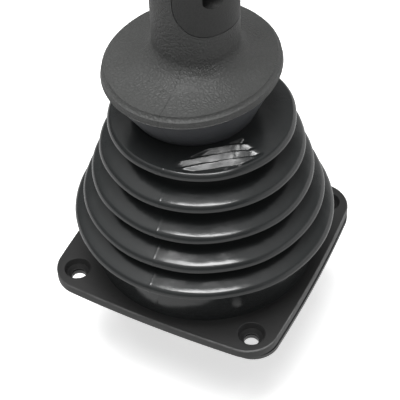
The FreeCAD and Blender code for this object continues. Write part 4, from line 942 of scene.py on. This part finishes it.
def make_camera():
    data = bpy.data.cameras.new("camera")
    data.sensor_width = CAMERA_SENSOR
    data.lens = CAMERA_LENS
    data.clip_end = 20.0
    camera = placed("camera", data)
    azimuth, elevation, roll = (math.radians(v) for v in (CAMERA_ROUND, CAMERA_UP, CAMERA_ROLL))
    level = math.cos(elevation)
    back = Vector((math.sin(azimuth) * level, -math.cos(azimuth) * level, math.sin(elevation)))
    right = (-back).cross(Vector((0, 0, 1))).normalized()
    up = right.cross(-back)
    turned = right * math.cos(roll) + up * math.sin(roll)
    upward = up * math.cos(roll) - right * math.sin(roll)
    place = (Vector(CAMERA_AIM) + back * CAMERA_AWAY) * MM
    camera.matrix_world = Matrix.Translation(place) @ Matrix((turned, upward, back)).transposed().to_4x4()
    bpy.context.scene.camera = camera


def leaning(tree, direction, x, y):
    """How far a direction leans towards the level direction (x, y)."""
    return number(tree, "MULTIPLY_ADD", direction["X"], x, number(tree, "MULTIPLY", direction["Y"], y))


def make_sky():
    """White behind all, an even dim light on matt faces, and a bright ceiling in what shines."""
    world = bpy.data.worlds.new("studio")
    bpy.context.scene.world = world
    world.use_nodes = True
    tree = world.node_tree
    tree.nodes.clear()
    direction = axes(tree, add(tree, "ShaderNodeTexCoord").outputs["Generated"])
    side = ramp(tree, leaning(tree, direction, -0.885, -0.466), -0.6, 0.6, 0.55, 1.25)
    ceiling = number(tree, "MULTIPLY", ramp(tree, direction["Z"], 0.5, 0.97, 0.12, 1.0), side)
    behind = ramp(tree, leaning(tree, direction, 0.76, 0.65), 0.35, 0.85)
    glow = number(tree, "MULTIPLY", ramp(tree, direction["Z"], 0.35, 0.6, 0.95, 0.0), behind)
    mirrored, matt, seen = (
        add(tree, "ShaderNodeBackground", {"Color": grey(1.0), "Strength": strength}).outputs[0]
        for strength in (number(tree, "ADD", ceiling, glow), 0.36, 1.0)
    )
    ray = add(tree, "ShaderNodeLightPath").outputs
    unseen = mix_shader(tree, ray["Is Glossy Ray"], matt, mirrored)
    add(tree, "ShaderNodeOutputWorld", {"Surface": mix_shader(tree, ray["Is Camera Ray"], unseen, seen)})


def make_floor():
    """White paper that takes the shadow, dimmer in what it lights and brighter in what shines."""
    material, tree = new_material("floor_paper")
    tone = mix_colour(tree, noise_of(tree, place_on_object(tree), 3.0), grey(0.86), grey(0.88))
    paper, dim_paper = (
        add(tree, "ShaderNodeBsdfDiffuse", {"Color": colour}).outputs[0] for colour in (tone, grey(0.5))
    )
    glow, bright = (
        add(tree, "ShaderNodeEmission", {"Color": grey(1.0), "Strength": strength}).outputs[0]
        for strength in (0.55, 0.85)
    )
    lit = add(tree, "ShaderNodeAddShader", {0: paper, 1: glow}).outputs[0]
    ray = add(tree, "ShaderNodeLightPath").outputs
    unseen = mix_shader(tree, ray["Is Glossy Ray"], dim_paper, bright)
    add(tree, "ShaderNodeOutputMaterial", {"Surface": mix_shader(tree, ray["Is Camera Ray"], unseen, lit)})
    lowest = min(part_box(n)[0].z for n in frame["nodes"])
    floor = mesh_object("floor", lambda bm: bmesh.ops.create_grid(
        bm, x_segments=8, y_segments=8, size=FLOOR_SIZE,
        matrix=Matrix.Translation((0, 0, lowest - FLOOR_GAP)),
    ))
    floor.data.materials.append(material)


def make_light(name, at, width, depth, power, on):
    """A soft box that lights only glossy or only diffuse surfaces; place and size are in metres."""
    data = bpy.data.lights.new(name, "AREA")
    data.energy = power
    data.shape = "RECTANGLE"
    data.size = width
    data.size_y = depth
    light = placed(name, data)
    light.location = at
    light.rotation_mode = "QUATERNION"
    light.rotation_quaternion = (Vector(LIGHT_AIM) - Vector(at)).to_track_quat("-Z", "Y")
    light.visible_glossy = on == "glossy"
    light.visible_diffuse = on == "diffuse"


make_camera()
make_sky()
make_floor()
make_light("key", (0.10, -0.24, 1.18), 0.62, 0.15, 6.2, "glossy")
make_light("front", (0.349, -0.355, 1.135), 0.45, 0.32, 1.7, "glossy")
make_light("overhead", (-0.09, -0.12, 1.25), 0.8, 0.8, 21.0, "diffuse")
bpy.context.scene.view_settings.view_transform = "Standard"
